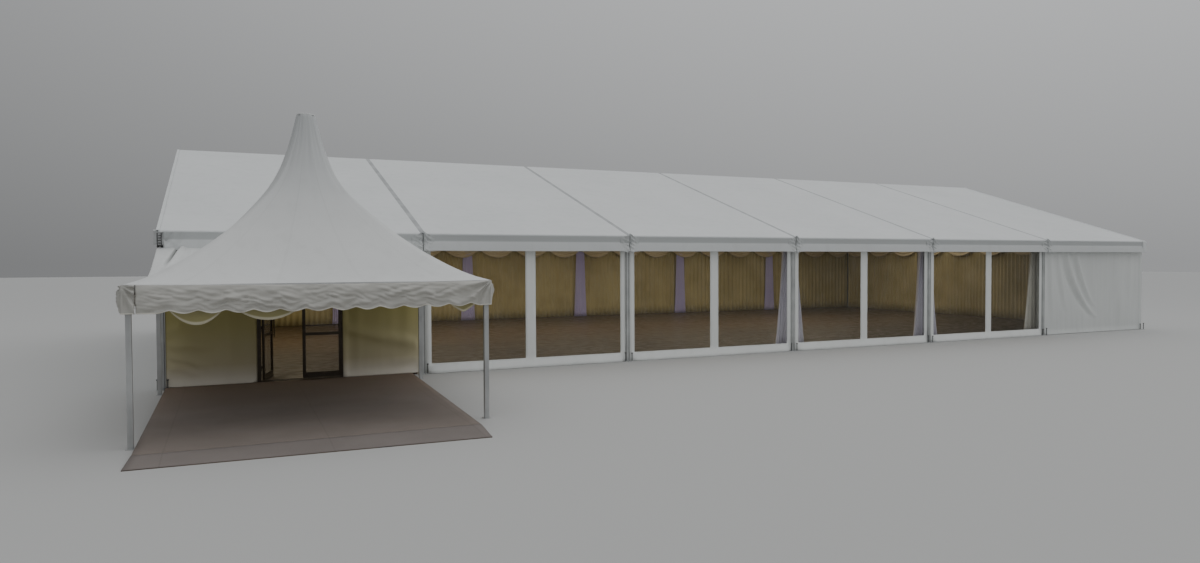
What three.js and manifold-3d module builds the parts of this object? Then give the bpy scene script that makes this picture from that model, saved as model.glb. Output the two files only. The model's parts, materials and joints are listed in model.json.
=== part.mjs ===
// Frame marquee with a pagoda porch
//
// A clear-span hall of seven aluminium portal frames stands in a row, five metres apart.
// Sheets of white coated cloth slide between the frames for the roof and the walls.
// Four of the front bays have clear window walls. The first bay holds a glazed double
// door, and a square pagoda canopy with a tall peak stands in front of it as the porch.
//
// The hall's own grid has X along the front, from the first frame, Y from the front
// wall to the rear one, and Z up from the ground. The last lines move that grid so that
// the origin lies on the ground near the middle of the whole building.

import * as THREE from "three";
import { ConvexGeometry } from "three/addons/geometries/ConvexGeometry.js";
import { mergeVertices } from "three/addons/utils/BufferGeometryUtils.js";
import Module from "manifold-3d";

const wasm = await Module();
wasm.setup();

// Driving dimensions of the hall, in millimetres
const BAY = 5000;
const BAY_COUNT = 6;
const SPAN = 15000;
const EAVE_HEIGHT = 3067;
const RIDGE_HEIGHT = 5550;
const EAVE_OVERHANG = 100;
const SEAT_GAP = 0.3;

// Driving dimensions of the porch
const PORCH_CENTRE = { x: 2400, y: -3050 };
const PORCH_HALF = 2470;
const PORCH_EAVE = 2160;
const PORCH_PEAK = 4930;

// Sections of the hall's frame
const LEG = { width: 110, depth: 200 };
const RAFTER_DEPTH = 200;
const KNEE = { height: 2860, run: 320 };
const FOOT_PLATE = { halfWidth: 120, front: -100, back: 300, thick: 12 };
const RIDGE_PURLIN = { width: 60, top: RIDGE_HEIGHT - 55, height: 100 };
const EAVE_RAIL = { bottom: 2790, overrun: 55 };
const GABLE_POST = { width: 100, places: [SPAN / 3, (2 * SPAN) / 3] };

// Cloth of the hall
const CLOTH = 12;
const WALL = { front: 10, bottom: 13, top: 2900 };
const FASCIA = { thick: 8, depth: 380 };
const WINDOW = { top: 2900, skirt: 220, side: 135, middle: 250, head: 170, sheet: 3, lap: 20 };

// Entrance door
const DOOR = { left: 1680, right: 3380, top: 2160, front: -4.7, back: 60, jamb: 70 };
const LEAF = { thick: 40, front: 10, bottom: 70, stile: 60, bottomRail: 110, openDegrees: 75 };
const LEAF_GAP = { side: 6, middle: 8, head: 6 };
const MID_RAIL = { centre: 970, height: 60, thick: 16 };
const GLASS = { thick: 6, setBack: 20 };
const PUSH_BAR = { centre: 1140, side: 25, standOff: 25, inset: 45 };
const HINGE = { radius: 5, offset: 12, height: 50, places: [300, 1100, 1900] };

// Floors
const HALL_FLOOR_TOP = 60;
const PORCH_FLOOR = { top: 40, front: -6090, back: -5, frontRight: 4540 };
const RAMP = { lip: 6, left: { x: 10, y: -6724 }, right: { x: 4477, y: -6860 } };

// Porch frame and canopy
const PORCH_POST = { side: 70, inset: 60, plate: 120, plateThick: 10 };
const PORCH_RING = { width: 60, height: 80 };
const PORCH_CLOTH = 15;
const PORCH_VALANCE = { thick: 8, drop: 380 };
const MAST = { radius: 38, foot: 2750, cupRadius: 60, cupHeight: 60, headThick: 15 };
const CABLE = { radius: 8, lugSide: 80, lugHeight: 40, lugDrop: 20 };
const CAP = { half: 142, thick: 22 };

// Cloth hung inside the hall
const LINING = { thick: 100, top: 2850 };
const DRAPE = { top: 2850, topHalf: 200, footHalf: 325, depth: 130 };

// The origin's place behind the front wall
const ORIGIN_DEPTH = 4244.15;

const LENGTH = BAY * BAY_COUNT;
const SLOPE = (RIDGE_HEIGHT - EAVE_HEIGHT) / (SPAN / 2 + EAVE_OVERHANG);
const STRETCH = Math.hypot(1, SLOPE);
const RAFTER_DROP = RAFTER_DEPTH * STRETCH;
const SHEET_DROP = CLOTH * STRETCH;

// Height of the roof's outer face over a place across the hall
function roofHeight(y) {
  return RIDGE_HEIGHT - Math.abs(y - SPAN / 2) * SLOPE;
}

function finish(color, roughness, metalness) {
  return { color, roughness, metalness };
}

const FINISHES = {
  roofCloth: finish(0xdfe2e2, 0.55, 0.0),
  wallCloth: finish(0xd9d6c8, 0.6, 0.0),
  clearSheet: finish(0xbfc8c6, 0.1, 0.0),
  alloy: finish(0x9ea3a5, 0.4, 0.9),
  darkFrame: finish(0x2f2a22, 0.45, 0.6),
  glass: finish(0x6d7470, 0.05, 0.0),
  board: finish(0x4a3a2c, 0.7, 0.0),
  carpet: finish(0x8b857c, 0.95, 0.0),
  rampCarpet: finish(0x9a958c, 0.95, 0.0),
  liningCloth: finish(0xe6dfd0, 0.8, 0.0),
  steel: finish(0x55585a, 0.5, 0.8),
};

const hall = new THREE.Group();

function addPiece(name, geometry, finishName, parent = hall) {
  const mesh = new THREE.Mesh(geometry, new THREE.MeshStandardMaterial(FINISHES[finishName]));
  mesh.name = name;
  parent.add(mesh);
  return mesh;
}

// A box between two corners
function block(low, high) {
  const size = high.map((value, i) => value - low[i]);
  const geometry = new THREE.BoxGeometry(...size);
  geometry.translate(low[0] + size[0] / 2, low[1] + size[1] / 2, low[2] + size[2] / 2);
  return geometry;
}

function shapeOf(points) {
  return new THREE.Shape(points.map(([a, b]) => new THREE.Vector2(a, b)));
}

// An outline across the hall, given as [y, z], run along X
function runAlongX(points, x0, x1) {
  const geometry = new THREE.ExtrudeGeometry(shapeOf(points), { depth: x1 - x0, bevelEnabled: false });
  const turn = new THREE.Matrix4().makeBasis(
    new THREE.Vector3(0, 1, 0),
    new THREE.Vector3(0, 0, 1),
    new THREE.Vector3(1, 0, 0),
  );
  geometry.applyMatrix4(turn);
  geometry.translate(x0, 0, 0);
  return geometry;
}

// An upright outline, given as [x, z], with its thickness from y0 back to y1
function uprightShape(shape, y0, y1) {
  const geometry = new THREE.ExtrudeGeometry(shape, { depth: y1 - y0, bevelEnabled: false });
  geometry.rotateX(Math.PI / 2);
  geometry.translate(0, y1, 0);
  return geometry;
}

// A plan outline, given as [x, y], raised from the ground
function plate(points, top) {
  return new THREE.ExtrudeGeometry(shapeOf(points), { depth: top, bevelEnabled: false });
}

function toSolid(geometry) {
  const bare = geometry.clone();
  bare.deleteAttribute("normal");
  bare.deleteAttribute("uv");
  const merged = mergeVertices(bare, 1e-4);
  return new wasm.Manifold(
    new wasm.Mesh({
      numProp: 3,
      vertProperties: new Float32Array(merged.attributes.position.array),
      triVerts: new Uint32Array(merged.index.array),
    }),
  );
}

function toGeometry(solid) {
  const mesh = solid.getMesh();
  const geometry = new THREE.BufferGeometry();
  geometry.setAttribute("position", new THREE.BufferAttribute(new Float32Array(mesh.vertProperties), 3));
  geometry.setIndex(new THREE.BufferAttribute(new Uint32Array(mesh.triVerts), 1));
  geometry.computeVertexNormals();
  return geometry;
}

function join(...geometries) {
  return toGeometry(geometries.map(toSolid).reduce((sum, solid) => sum.add(solid)));
}

function cut(geometry, ...tools) {
  return toGeometry(tools.map(toSolid).reduce((rest, tool) => rest.subtract(tool), toSolid(geometry)));
}

// The same outline points seen from the rear wall, in reverse order
function mirrored(points) {
  return points.map(([y, z]) => [SPAN - y, z]).reverse();
}

// Portal frames: two legs, two rafters with a knee at each eave, and a foot plate per leg
function portalFrame(x) {
  const half = [
    [0, 0],
    [0, roofHeight(0)],
  ];
  const inner = [
    [KNEE.run, roofHeight(KNEE.run) - RAFTER_DROP],
    [LEG.depth, KNEE.height],
    [LEG.depth, 0],
  ];
  const outline = [
    ...half,
    [SPAN / 2, RIDGE_HEIGHT],
    ...mirrored(half),
    ...mirrored(inner),
    [SPAN / 2, RIDGE_HEIGHT - RAFTER_DROP],
    ...inner,
  ];
  const x0 = x - LEG.width / 2;
  const x1 = x + LEG.width / 2;
  const plates = [FOOT_PLATE.front, SPAN - FOOT_PLATE.back].map((y) =>
    block(
      [x - FOOT_PLATE.halfWidth, y, 0],
      [x + FOOT_PLATE.halfWidth, y + FOOT_PLATE.back - FOOT_PLATE.front, FOOT_PLATE.thick],
    ),
  );
  const side = RIDGE_PURLIN.width / 2 + SEAT_GAP;
  const ridgeSlot = block(
    [x0 - 10, SPAN / 2 - side, RIDGE_PURLIN.top - RIDGE_PURLIN.height - SEAT_GAP],
    [x1 + 10, SPAN / 2 + side, RIDGE_PURLIN.top + SEAT_GAP],
  );
  return cut(join(runAlongX(outline, x0, x1), ...plates), ridgeSlot);
}

for (let n = 0; n <= BAY_COUNT; n += 1) {
  addPiece(`portal_frame_${n + 1}`, portalFrame(n * BAY), "alloy");
}

// Ridge purlin, through the ridge joint of every frame
addPiece(
  "ridge_purlin",
  block(
    [-LEG.width / 2, (SPAN - RIDGE_PURLIN.width) / 2, RIDGE_PURLIN.top - RIDGE_PURLIN.height],
    [LENGTH + LEG.width / 2, (SPAN + RIDGE_PURLIN.width) / 2, RIDGE_PURLIN.top],
  ),
  "alloy",
);

// Eave rails, bolted to the outer face of the legs, under the edge of the roof sheets
const railOutline = [
  [-EAVE_OVERHANG, EAVE_RAIL.bottom],
  [-SEAT_GAP, EAVE_RAIL.bottom],
  [-SEAT_GAP, roofHeight(-SEAT_GAP) - SHEET_DROP - SEAT_GAP],
  [-EAVE_OVERHANG, roofHeight(-EAVE_OVERHANG) - SHEET_DROP - SEAT_GAP],
];
const railStart = -LEG.width / 2 - EAVE_RAIL.overrun;
addPiece("eave_rail_front", runAlongX(railOutline, railStart, LENGTH - railStart), "alloy");
addPiece("eave_rail_rear", runAlongX(mirrored(railOutline), railStart, LENGTH - railStart), "alloy");

// Gable posts, from the ground to the underside of the end rafters
function gablePost(x, y) {
  const low = y - GABLE_POST.width / 2;
  const high = y + GABLE_POST.width / 2;
  const top = (place) => roofHeight(place) - RAFTER_DROP - SEAT_GAP;
  const outline = [
    [low, 0],
    [high, 0],
    [high, top(high)],
    [low, top(low)],
  ];
  return runAlongX(outline, x - LEG.width / 2, x + LEG.width / 2);
}

const ENDS = { left: 0, right: LENGTH };
for (const [end, x] of Object.entries(ENDS)) {
  GABLE_POST.places.forEach((y, i) => {
    addPiece(`gable_post_${end}_${i + 1}`, gablePost(x, y), "alloy");
  });
}

// Roof sheets, one a bay, over both slopes
const sheetEdge = LEG.width / 2 + SEAT_GAP;
const sheetOuter = [
  [-EAVE_OVERHANG, roofHeight(-EAVE_OVERHANG)],
  [SPAN / 2, RIDGE_HEIGHT],
  [SPAN + EAVE_OVERHANG, roofHeight(SPAN + EAVE_OVERHANG)],
];
const sheetInner = sheetOuter.map(([y, z]) => [y, z - SHEET_DROP]).reverse();
for (let n = 0; n < BAY_COUNT; n += 1) {
  addPiece(
    `roof_sheet_${n + 1}`,
    runAlongX([...sheetOuter, ...sheetInner], n * BAY + sheetEdge, (n + 1) * BAY - sheetEdge),
    "roofCloth",
  );
}

// Fascias, the valance cloth that hangs in front of the eave rails
const fasciaBack = -EAVE_OVERHANG - SEAT_GAP;
const fasciaOutline = [
  [fasciaBack - FASCIA.thick, EAVE_HEIGHT - FASCIA.depth],
  [fasciaBack, EAVE_HEIGHT - FASCIA.depth],
  [fasciaBack, EAVE_HEIGHT],
  [fasciaBack - FASCIA.thick, EAVE_HEIGHT],
];
const fasciaStart = -LEG.width / 2;
addPiece("fascia_front", runAlongX(fasciaOutline, fasciaStart, LENGTH - fasciaStart), "roofCloth");
addPiece("fascia_rear", runAlongX(mirrored(fasciaOutline), fasciaStart, LENGTH - fasciaStart), "roofCloth");

// Gable walls, outside the end frames
const gableOutline = [
  [0, WALL.bottom],
  [SPAN, WALL.bottom],
  [SPAN, roofHeight(SPAN) - CLOTH],
  [SPAN / 2, RIDGE_HEIGHT - CLOTH],
  [0, roofHeight(0) - CLOTH],
];
const gableFace = LEG.width / 2 + SEAT_GAP;
addPiece("gable_wall_left", runAlongX(gableOutline, -gableFace - CLOTH, -gableFace), "wallCloth");
addPiece(
  "gable_wall_right",
  runAlongX(gableOutline, LENGTH + gableFace, LENGTH + gableFace + CLOTH),
  "wallCloth",
);

// Plain front walls: both sides of the door, over it, and the whole last bay
const wallBack = WALL.front + CLOTH;
function plainWall(name, x0, x1, bottom = WALL.bottom) {
  addPiece(name, block([x0, WALL.front, bottom], [x1, wallBack, WALL.top]), "wallCloth");
}
plainWall("front_wall_left_of_door", sheetEdge, DOOR.left - SEAT_GAP);
plainWall("front_wall_right_of_door", DOOR.right + SEAT_GAP, BAY - sheetEdge);
plainWall("front_wall_over_door", DOOR.left, DOOR.right, DOOR.top + SEAT_GAP);
plainWall("front_wall_last_bay", LENGTH - BAY + sheetEdge, LENGTH - sheetEdge);

// Window walls: a white cloth border with two openings, and the clear sheet behind it
function windowWall(x0, x1) {
  const openingWidth = (x1 - x0 - 2 * WINDOW.side - WINDOW.middle) / 2;
  const openings = [x0 + WINDOW.side, x1 - WINDOW.side - openingWidth].map((start) =>
    block(
      [start, WALL.front - 10, WINDOW.skirt],
      [start + openingWidth, wallBack + 10, WINDOW.top - WINDOW.head],
    ),
  );
  return cut(block([x0, WALL.front, WALL.bottom], [x1, wallBack, WINDOW.top]), ...openings);
}

for (let n = 1; n < BAY_COUNT - 1; n += 1) {
  const x0 = n * BAY + sheetEdge;
  const x1 = (n + 1) * BAY - sheetEdge;
  addPiece(`window_wall_${n + 1}`, windowWall(x0, x1), "wallCloth");
  addPiece(
    `clear_sheet_${n + 1}`,
    block(
      [x0 + WINDOW.lap, wallBack + SEAT_GAP, WINDOW.skirt - WINDOW.lap],
      [x1 - WINDOW.lap, wallBack + SEAT_GAP + WINDOW.sheet, WINDOW.top - WINDOW.lap],
    ),
    "clearSheet",
  );
}

// Rear wall, one long curtain outside the rear legs
addPiece(
  "rear_wall",
  block(
    [-LEG.width / 2, SPAN + SEAT_GAP, WALL.bottom],
    [LENGTH + LEG.width / 2, SPAN + SEAT_GAP + CLOTH, EAVE_RAIL.bottom - SEAT_GAP],
  ),
  "wallCloth",
);

// Entrance door: the frame carries the lower half of each hinge, and each leaf the upper half
const hingeY = LEAF.front + LEAF.thick + HINGE.offset;
const leafWidth = (DOOR.right - DOOR.left) / 2 - DOOR.jamb - LEAF_GAP.side - LEAF_GAP.middle / 2;
const leafTop = DOOR.top - DOOR.jamb - LEAF_GAP.head;

function knuckle(x, y, z0, z1) {
  const geometry = new THREE.CylinderGeometry(HINGE.radius, HINGE.radius, z1 - z0, 12);
  geometry.rotateX(Math.PI / 2);
  geometry.translate(x, y, (z0 + z1) / 2);
  return geometry;
}

function doorFrame() {
  const inner = { left: DOOR.left + DOOR.jamb, right: DOOR.right - DOOR.jamb, top: DOOR.top - DOOR.jamb };
  const shape = shapeOf([
    [DOOR.left, 0],
    [inner.left, 0],
    [inner.left, inner.top],
    [inner.right, inner.top],
    [inner.right, 0],
    [DOOR.right, 0],
    [DOOR.right, DOOR.top],
    [DOOR.left, DOOR.top],
  ]);
  const pieces = [uprightShape(shape, DOOR.front, DOOR.back)];
  const threshold = block([inner.left - 1, DOOR.front, 0], [inner.right + 1, DOOR.back, LEAF.bottom - 20]);
  pieces.push(threshold);
  for (const side of [-1, 1]) {
    const jambFace = side < 0 ? inner.left : inner.right;
    const pin = jambFace - side * LEAF_GAP.side;
    for (const place of HINGE.places) {
      const low = place - HINGE.height - SEAT_GAP;
      const high = place - SEAT_GAP;
      const ends = [pin, jambFace + side * 12].sort((a, b) => a - b);
      pieces.push(block([ends[0], DOOR.back - 4, low], [ends[1], hingeY + 4, high]));
      pieces.push(knuckle(pin, hingeY, low, high));
    }
  }
  return join(...pieces);
}

addPiece("door_frame", doorFrame(), "darkFrame");

// A leaf in its own frame: the hinge pin at the origin, the leaf running along +X
function leafFrame() {
  const back = -HINGE.offset;
  const front = back - LEAF.thick;
  const slab = block([0, front, LEAF.bottom], [leafWidth, back, leafTop]);
  const opening = block(
    [LEAF.stile, front - 10, LEAF.bottom + LEAF.bottomRail],
    [leafWidth - LEAF.stile, back + 10, leafTop - LEAF.stile],
  );
  const pieces = [cut(slab, opening)];
  pieces.push(
    block(
      [LEAF.stile - 1, front, MID_RAIL.centre - MID_RAIL.height / 2],
      [leafWidth - LEAF.stile + 1, front + MID_RAIL.thick, MID_RAIL.centre + MID_RAIL.height / 2],
    ),
  );
  const barLow = PUSH_BAR.centre - PUSH_BAR.side / 2;
  const barFace = back + PUSH_BAR.standOff;
  const barHigh = barLow + PUSH_BAR.side;
  const barEnd = leafWidth - PUSH_BAR.inset;
  pieces.push(block([PUSH_BAR.inset, barFace, barLow], [barEnd, barFace + PUSH_BAR.side, barHigh]));
  for (const start of [PUSH_BAR.inset, barEnd - PUSH_BAR.side]) {
    pieces.push(block([start, back - 1, barLow], [start + PUSH_BAR.side, barFace + 1, barHigh]));
  }
  for (const place of HINGE.places) {
    pieces.push(block([0, back - 1, place], [25, 0, place + HINGE.height]));
    pieces.push(knuckle(0, 0, place, place + HINGE.height));
  }
  return join(...pieces);
}

function leafGlass() {
  const front = -HINGE.offset - LEAF.thick + GLASS.setBack;
  return block(
    [LEAF.stile + SEAT_GAP, front, LEAF.bottom + LEAF.bottomRail + SEAT_GAP],
    [leafWidth - LEAF.stile - SEAT_GAP, front + GLASS.thick, leafTop - LEAF.stile - SEAT_GAP],
  );
}

// The left leaf stands open into the hall, and the right leaf is shut
function placedLeaf(geometry, side) {
  if (side === "left") {
    geometry.rotateZ(THREE.MathUtils.degToRad(LEAF.openDegrees));
    geometry.translate(DOOR.left + DOOR.jamb + LEAF_GAP.side, hingeY, 0);
    return geometry;
  }
  const flipped = toGeometry(toSolid(geometry).mirror([1, 0, 0]));
  flipped.translate(DOOR.right - DOOR.jamb - LEAF_GAP.side, hingeY, 0);
  return flipped;
}

for (const side of ["left", "right"]) {
  addPiece(`door_leaf_${side}`, placedLeaf(leafFrame(), side), "darkFrame");
  addPiece(`door_glass_${side}`, placedLeaf(leafGlass(), side), "glass");
}

// Hall floor, boards cut round the foot plates and the door frame
function hallFloor() {
  const front = wallBack + SEAT_GAP;
  const notchX = FOOT_PLATE.halfWidth + SEAT_GAP;
  const notchY = FOOT_PLATE.back + SEAT_GAP;
  const edge = LEG.width / 2 + SEAT_GAP;
  const points = [
    [notchX, front],
    [DOOR.left - SEAT_GAP, front],
    [DOOR.left - SEAT_GAP, DOOR.back + SEAT_GAP],
    [DOOR.right + SEAT_GAP, DOOR.back + SEAT_GAP],
    [DOOR.right + SEAT_GAP, front],
  ];
  for (let n = 1; n < BAY_COUNT; n += 1) {
    points.push([n * BAY - notchX, front], [n * BAY - notchX, notchY]);
    points.push([n * BAY + notchX, notchY], [n * BAY + notchX, front]);
  }
  points.push([LENGTH - notchX, front], [LENGTH - notchX, notchY], [LENGTH - edge, notchY]);
  points.push([LENGTH - edge, SPAN - notchY], [LENGTH - notchX, SPAN - notchY], [LENGTH - notchX, SPAN]);
  for (let n = BAY_COUNT - 1; n > 0; n -= 1) {
    points.push([n * BAY + notchX, SPAN], [n * BAY + notchX, SPAN - notchY]);
    points.push([n * BAY - notchX, SPAN - notchY], [n * BAY - notchX, SPAN]);
  }
  points.push([notchX, SPAN], [notchX, SPAN - notchY], [edge, SPAN - notchY], [edge, notchY]);
  points.push([notchX, notchY]);
  return plate(points, HALL_FLOOR_TOP);
}

addPiece("hall_floor", hallFloor(), "board");

// Rear lining: one pleated curtain before the rear legs, standing forward where a drape hangs
// over each leg
const liningBack = SPAN - LEG.depth - SEAT_GAP;
const liningFace = liningBack - LINING.thick;
const liningEnd = LEG.width / 2 + SEAT_GAP;
const drapeHalf = (DRAPE.topHalf + DRAPE.footHalf) / 2;
const liningPlan = [
  [LENGTH - liningEnd, liningBack],
  [liningEnd, liningBack],
  [liningEnd, liningFace],
];
for (let n = 1; n < BAY_COUNT; n += 1) {
  liningPlan.push([n * BAY - drapeHalf, liningFace], [n * BAY - drapeHalf, liningBack - DRAPE.depth]);
  liningPlan.push([n * BAY + drapeHalf, liningBack - DRAPE.depth], [n * BAY + drapeHalf, liningFace]);
}
liningPlan.push([LENGTH - liningEnd, liningFace]);
const liningFoot = HALL_FLOOR_TOP + SEAT_GAP;
const rearLining = plate(liningPlan, LINING.top - liningFoot);
rearLining.translate(0, 0, liningFoot);
addPiece("rear_lining", rearLining, "liningCloth");

// Drapes over the inner face of two of the front legs, wider at the floor than at the eave
function drape(x) {
  const shape = shapeOf([
    [x - DRAPE.footHalf, liningFoot],
    [x + DRAPE.footHalf, liningFoot],
    [x + DRAPE.topHalf, DRAPE.top],
    [x - DRAPE.topHalf, DRAPE.top],
  ]);
  const front = LEG.depth + SEAT_GAP;
  return uprightShape(shape, front, front + DRAPE.depth);
}

for (const n of [3, 4]) {
  addPiece(`drape_${n}`, drape(n * BAY), "liningCloth");
}

// Porch: everything below is placed from the middle of the canopy
const porch = new THREE.Group();
porch.position.set(PORCH_CENTRE.x, PORCH_CENTRE.y, 0);
hall.add(porch);

// Outer line of the canopy down the middle of one side, from the peak to the eave
const canopyLine = new THREE.SplineCurve(
  [
    [135, PORCH_PEAK],
    [215, 4580],
    [300, 4290],
    [425, 3970],
    [620, 3640],
    [900, 3310],
    [1250, 2955],
    [1600, 2650],
    [1950, 2400],
    [2230, 2245],
    [PORCH_HALF, PORCH_EAVE],
  ].map(([half, z]) => new THREE.Vector2(half, z)),
);
const CANOPY_STEPS = 30;

const canopyOuter = canopyLine.getPoints(CANOPY_STEPS);
const canopyInner = canopyOuter.map((point, i) => {
  const along = canopyLine.getTangent(i / CANOPY_STEPS);
  return new THREE.Vector2(point.x + along.y * PORCH_CLOTH, point.y - along.x * PORCH_CLOTH);
});

// Height of the canopy's underside over a place, from the inner line
function canopyUnderside(half) {
  const i = canopyInner.findIndex((point) => point.x >= half);
  const a = canopyInner[i - 1];
  const b = canopyInner[i];
  return a.y + ((half - a.x) / (b.x - a.x)) * (b.y - a.y);
}

// A square shell: a profile turned in four steps, its flats facing the sides of the porch
function squareShell(profile) {
  const hip = profile.map((point) => new THREE.Vector2(point.x * Math.SQRT2, point.y));
  const geometry = new THREE.LatheGeometry(hip, 4, Math.PI / 4);
  geometry.rotateX(Math.PI / 2);
  return geometry;
}

const canopyProfile = [...canopyOuter, ...canopyInner.slice().reverse(), canopyOuter[0]];
addPiece("porch_canopy", toGeometry(toSolid(squareShell(canopyProfile.reverse()))), "roofCloth", porch);

function squareRing(outerHalf, innerHalf, z0, z1) {
  return cut(
    block([-outerHalf, -outerHalf, z0], [outerHalf, outerHalf, z1]),
    block([-innerHalf, -innerHalf, z0 - 10], [innerHalf, innerHalf, z1 + 10]),
  );
}

// Eave ring of square tube, on the four posts
const ringMiddle = PORCH_HALF - PORCH_POST.inset;
const ringOuter = ringMiddle + PORCH_RING.width / 2;
const ringInner = ringMiddle - PORCH_RING.width / 2;
const ringTop = canopyUnderside(ringOuter) - SEAT_GAP;
const ringBottom = ringTop - PORCH_RING.height;
addPiece("porch_eave_ring", squareRing(ringOuter, ringInner, ringBottom, ringTop), "alloy", porch);

const valanceInner = PORCH_HALF + SEAT_GAP;
addPiece(
  "porch_valance",
  squareRing(valanceInner + PORCH_VALANCE.thick, valanceInner, PORCH_EAVE - PORCH_VALANCE.drop, PORCH_EAVE),
  "roofCloth",
  porch,
);

function porchPost(x, y) {
  const half = PORCH_POST.side / 2;
  const foot = PORCH_POST.plate / 2;
  return join(
    block([x - half, y - half, 0], [x + half, y + half, ringBottom - SEAT_GAP]),
    block([x - foot, y - foot, 0], [x + foot, y + foot, PORCH_POST.plateThick]),
  );
}

const CORNERS = { front_left: [-1, -1], front_right: [1, -1], rear_left: [-1, 1], rear_right: [1, 1] };
for (const [corner, [sx, sy]] of Object.entries(CORNERS)) {
  addPiece(`porch_post_${corner}`, porchPost(sx * ringMiddle, sy * ringMiddle), "alloy", porch);
}

// Mast held up on two cables that cross from corner to corner of the ring
function mast() {
  const headHalf = canopyInner[0].x - SEAT_GAP;
  const headTop = PORCH_PEAK;
  const pole = new THREE.CylinderGeometry(MAST.radius, MAST.radius, headTop - MAST.foot, 12);
  pole.rotateX(Math.PI / 2);
  pole.translate(0, 0, (headTop + MAST.foot) / 2);
  const cup = new THREE.CylinderGeometry(MAST.cupRadius, MAST.cupRadius, MAST.cupHeight, 12);
  cup.rotateX(Math.PI / 2);
  cup.translate(0, 0, MAST.foot + MAST.cupHeight / 2);
  const pieces = [pole, cup, block([-headHalf, -headHalf, headTop - MAST.headThick], [headHalf, headHalf, headTop])];
  const lugOuter = ringInner - SEAT_GAP;
  const lugInner = lugOuter - CABLE.lugSide;
  const lugTop = ringTop - CABLE.lugDrop;
  for (const [sx, sy] of Object.values(CORNERS)) {
    const xs = [sx * lugInner, sx * lugOuter].sort((a, b) => a - b);
    const ys = [sy * lugInner, sy * lugOuter].sort((a, b) => a - b);
    pieces.push(block([xs[0], ys[0], lugTop - CABLE.lugHeight], [xs[1], ys[1], lugTop]));
    const middle = (lugOuter + lugInner) / 2;
    const from = new THREE.Vector3(0, 0, MAST.foot + MAST.cupHeight / 2);
    const to = new THREE.Vector3(sx * middle, sy * middle, lugTop - CABLE.lugHeight / 2);
    const route = new THREE.Vector3().subVectors(to, from);
    const cable = new THREE.CylinderGeometry(CABLE.radius, CABLE.radius, route.length(), 8);
    const turn = new THREE.Quaternion().setFromUnitVectors(
      new THREE.Vector3(0, 1, 0),
      route.clone().normalize(),
    );
    cable.applyQuaternion(turn);
    cable.translate(...from.add(to).multiplyScalar(0.5).toArray());
    pieces.push(cable);
  }
  return join(...pieces);
}

addPiece("porch_mast", mast(), "steel", porch);

// Cap over the peak, with its edge just outside the canopy's top
addPiece(
  "porch_cap",
  block([-CAP.half, -CAP.half, PORCH_PEAK + SEAT_GAP], [CAP.half, CAP.half, PORCH_PEAK + SEAT_GAP + CAP.thick]),
  "roofCloth",
  porch,
);

// Porch floor between the posts, cut round the hall's first foot plate. It narrows on the
// right towards the front.
const porchLeft = PORCH_CENTRE.x - ringMiddle + PORCH_POST.plate / 2 + SEAT_GAP;
const porchRight = PORCH_CENTRE.x + ringMiddle - PORCH_POST.plate / 2 - SEAT_GAP;
addPiece(
  "porch_floor",
  plate(
    [
      [porchLeft, PORCH_FLOOR.front],
      [PORCH_FLOOR.frontRight, PORCH_FLOOR.front],
      [porchRight, PORCH_FLOOR.back],
      [FOOT_PLATE.halfWidth + SEAT_GAP, PORCH_FLOOR.back],
      [FOOT_PLATE.halfWidth + SEAT_GAP, FOOT_PLATE.front - SEAT_GAP],
      [porchLeft, FOOT_PLATE.front - SEAT_GAP],
    ],
    PORCH_FLOOR.top,
  ),
  "carpet",
);

// Ramp down from the floor's front edge, its own front edge a little askew
const rampBack = PORCH_FLOOR.front - SEAT_GAP;
const rampCorners = [
  [porchLeft, rampBack, PORCH_FLOOR.top],
  [PORCH_FLOOR.frontRight, rampBack, PORCH_FLOOR.top],
  [RAMP.right.x, RAMP.right.y, RAMP.lip],
  [RAMP.left.x, RAMP.left.y, RAMP.lip],
];
const rampPoints = rampCorners.flatMap(([x, y, z]) => [new THREE.Vector3(x, y, 0), new THREE.Vector3(x, y, z)]);
addPiece("porch_ramp", new ConvexGeometry(rampPoints), "rampCarpet");

// Weather flap, laced to the fascia and led down to the rear edge of the canopy
const flapTop = fasciaBack - FASCIA.thick - SEAT_GAP;
const flapFoot = PORCH_CENTRE.y + valanceInner + PORCH_VALANCE.thick + SEAT_GAP;
addPiece(
  "weather_flap",
  runAlongX(
    [
      [flapFoot, PORCH_EAVE - 2 * CLOTH],
      [flapTop, EAVE_HEIGHT - FASCIA.depth + CLOTH],
      [flapTop, EAVE_HEIGHT - FASCIA.depth + 2 * CLOTH],
      [flapFoot, PORCH_EAVE - CLOTH],
    ],
    PORCH_CENTRE.x - PORCH_HALF,
    PORCH_CENTRE.x + PORCH_HALF,
  ),
  "roofCloth",
);

// The grid moves so that the origin lies on the ground near the middle of the building
hall.position.set(-LENGTH / 2, -ORIGIN_DEPTH, 0);

export default hall;
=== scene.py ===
# %% [markdown]
# # A frame marquee and its pagoda porch
#
# The marquee is a clear-span hall: seven aluminium frames stand five metres apart, and sheets of
# coated cloth slide between them. A square pagoda canopy shelters the entrance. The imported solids
# give every size. This file turns each cloth into a sheet with its folds, and gives each frame part
# a finish. It starts by loading the solids and keeping their box.

# %% Load the solids
import json
from math import atan2, ceil, exp, hypot, pi, radians, sin
import bmesh
import bpy
from mathutils import Matrix, Vector, noise


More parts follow.
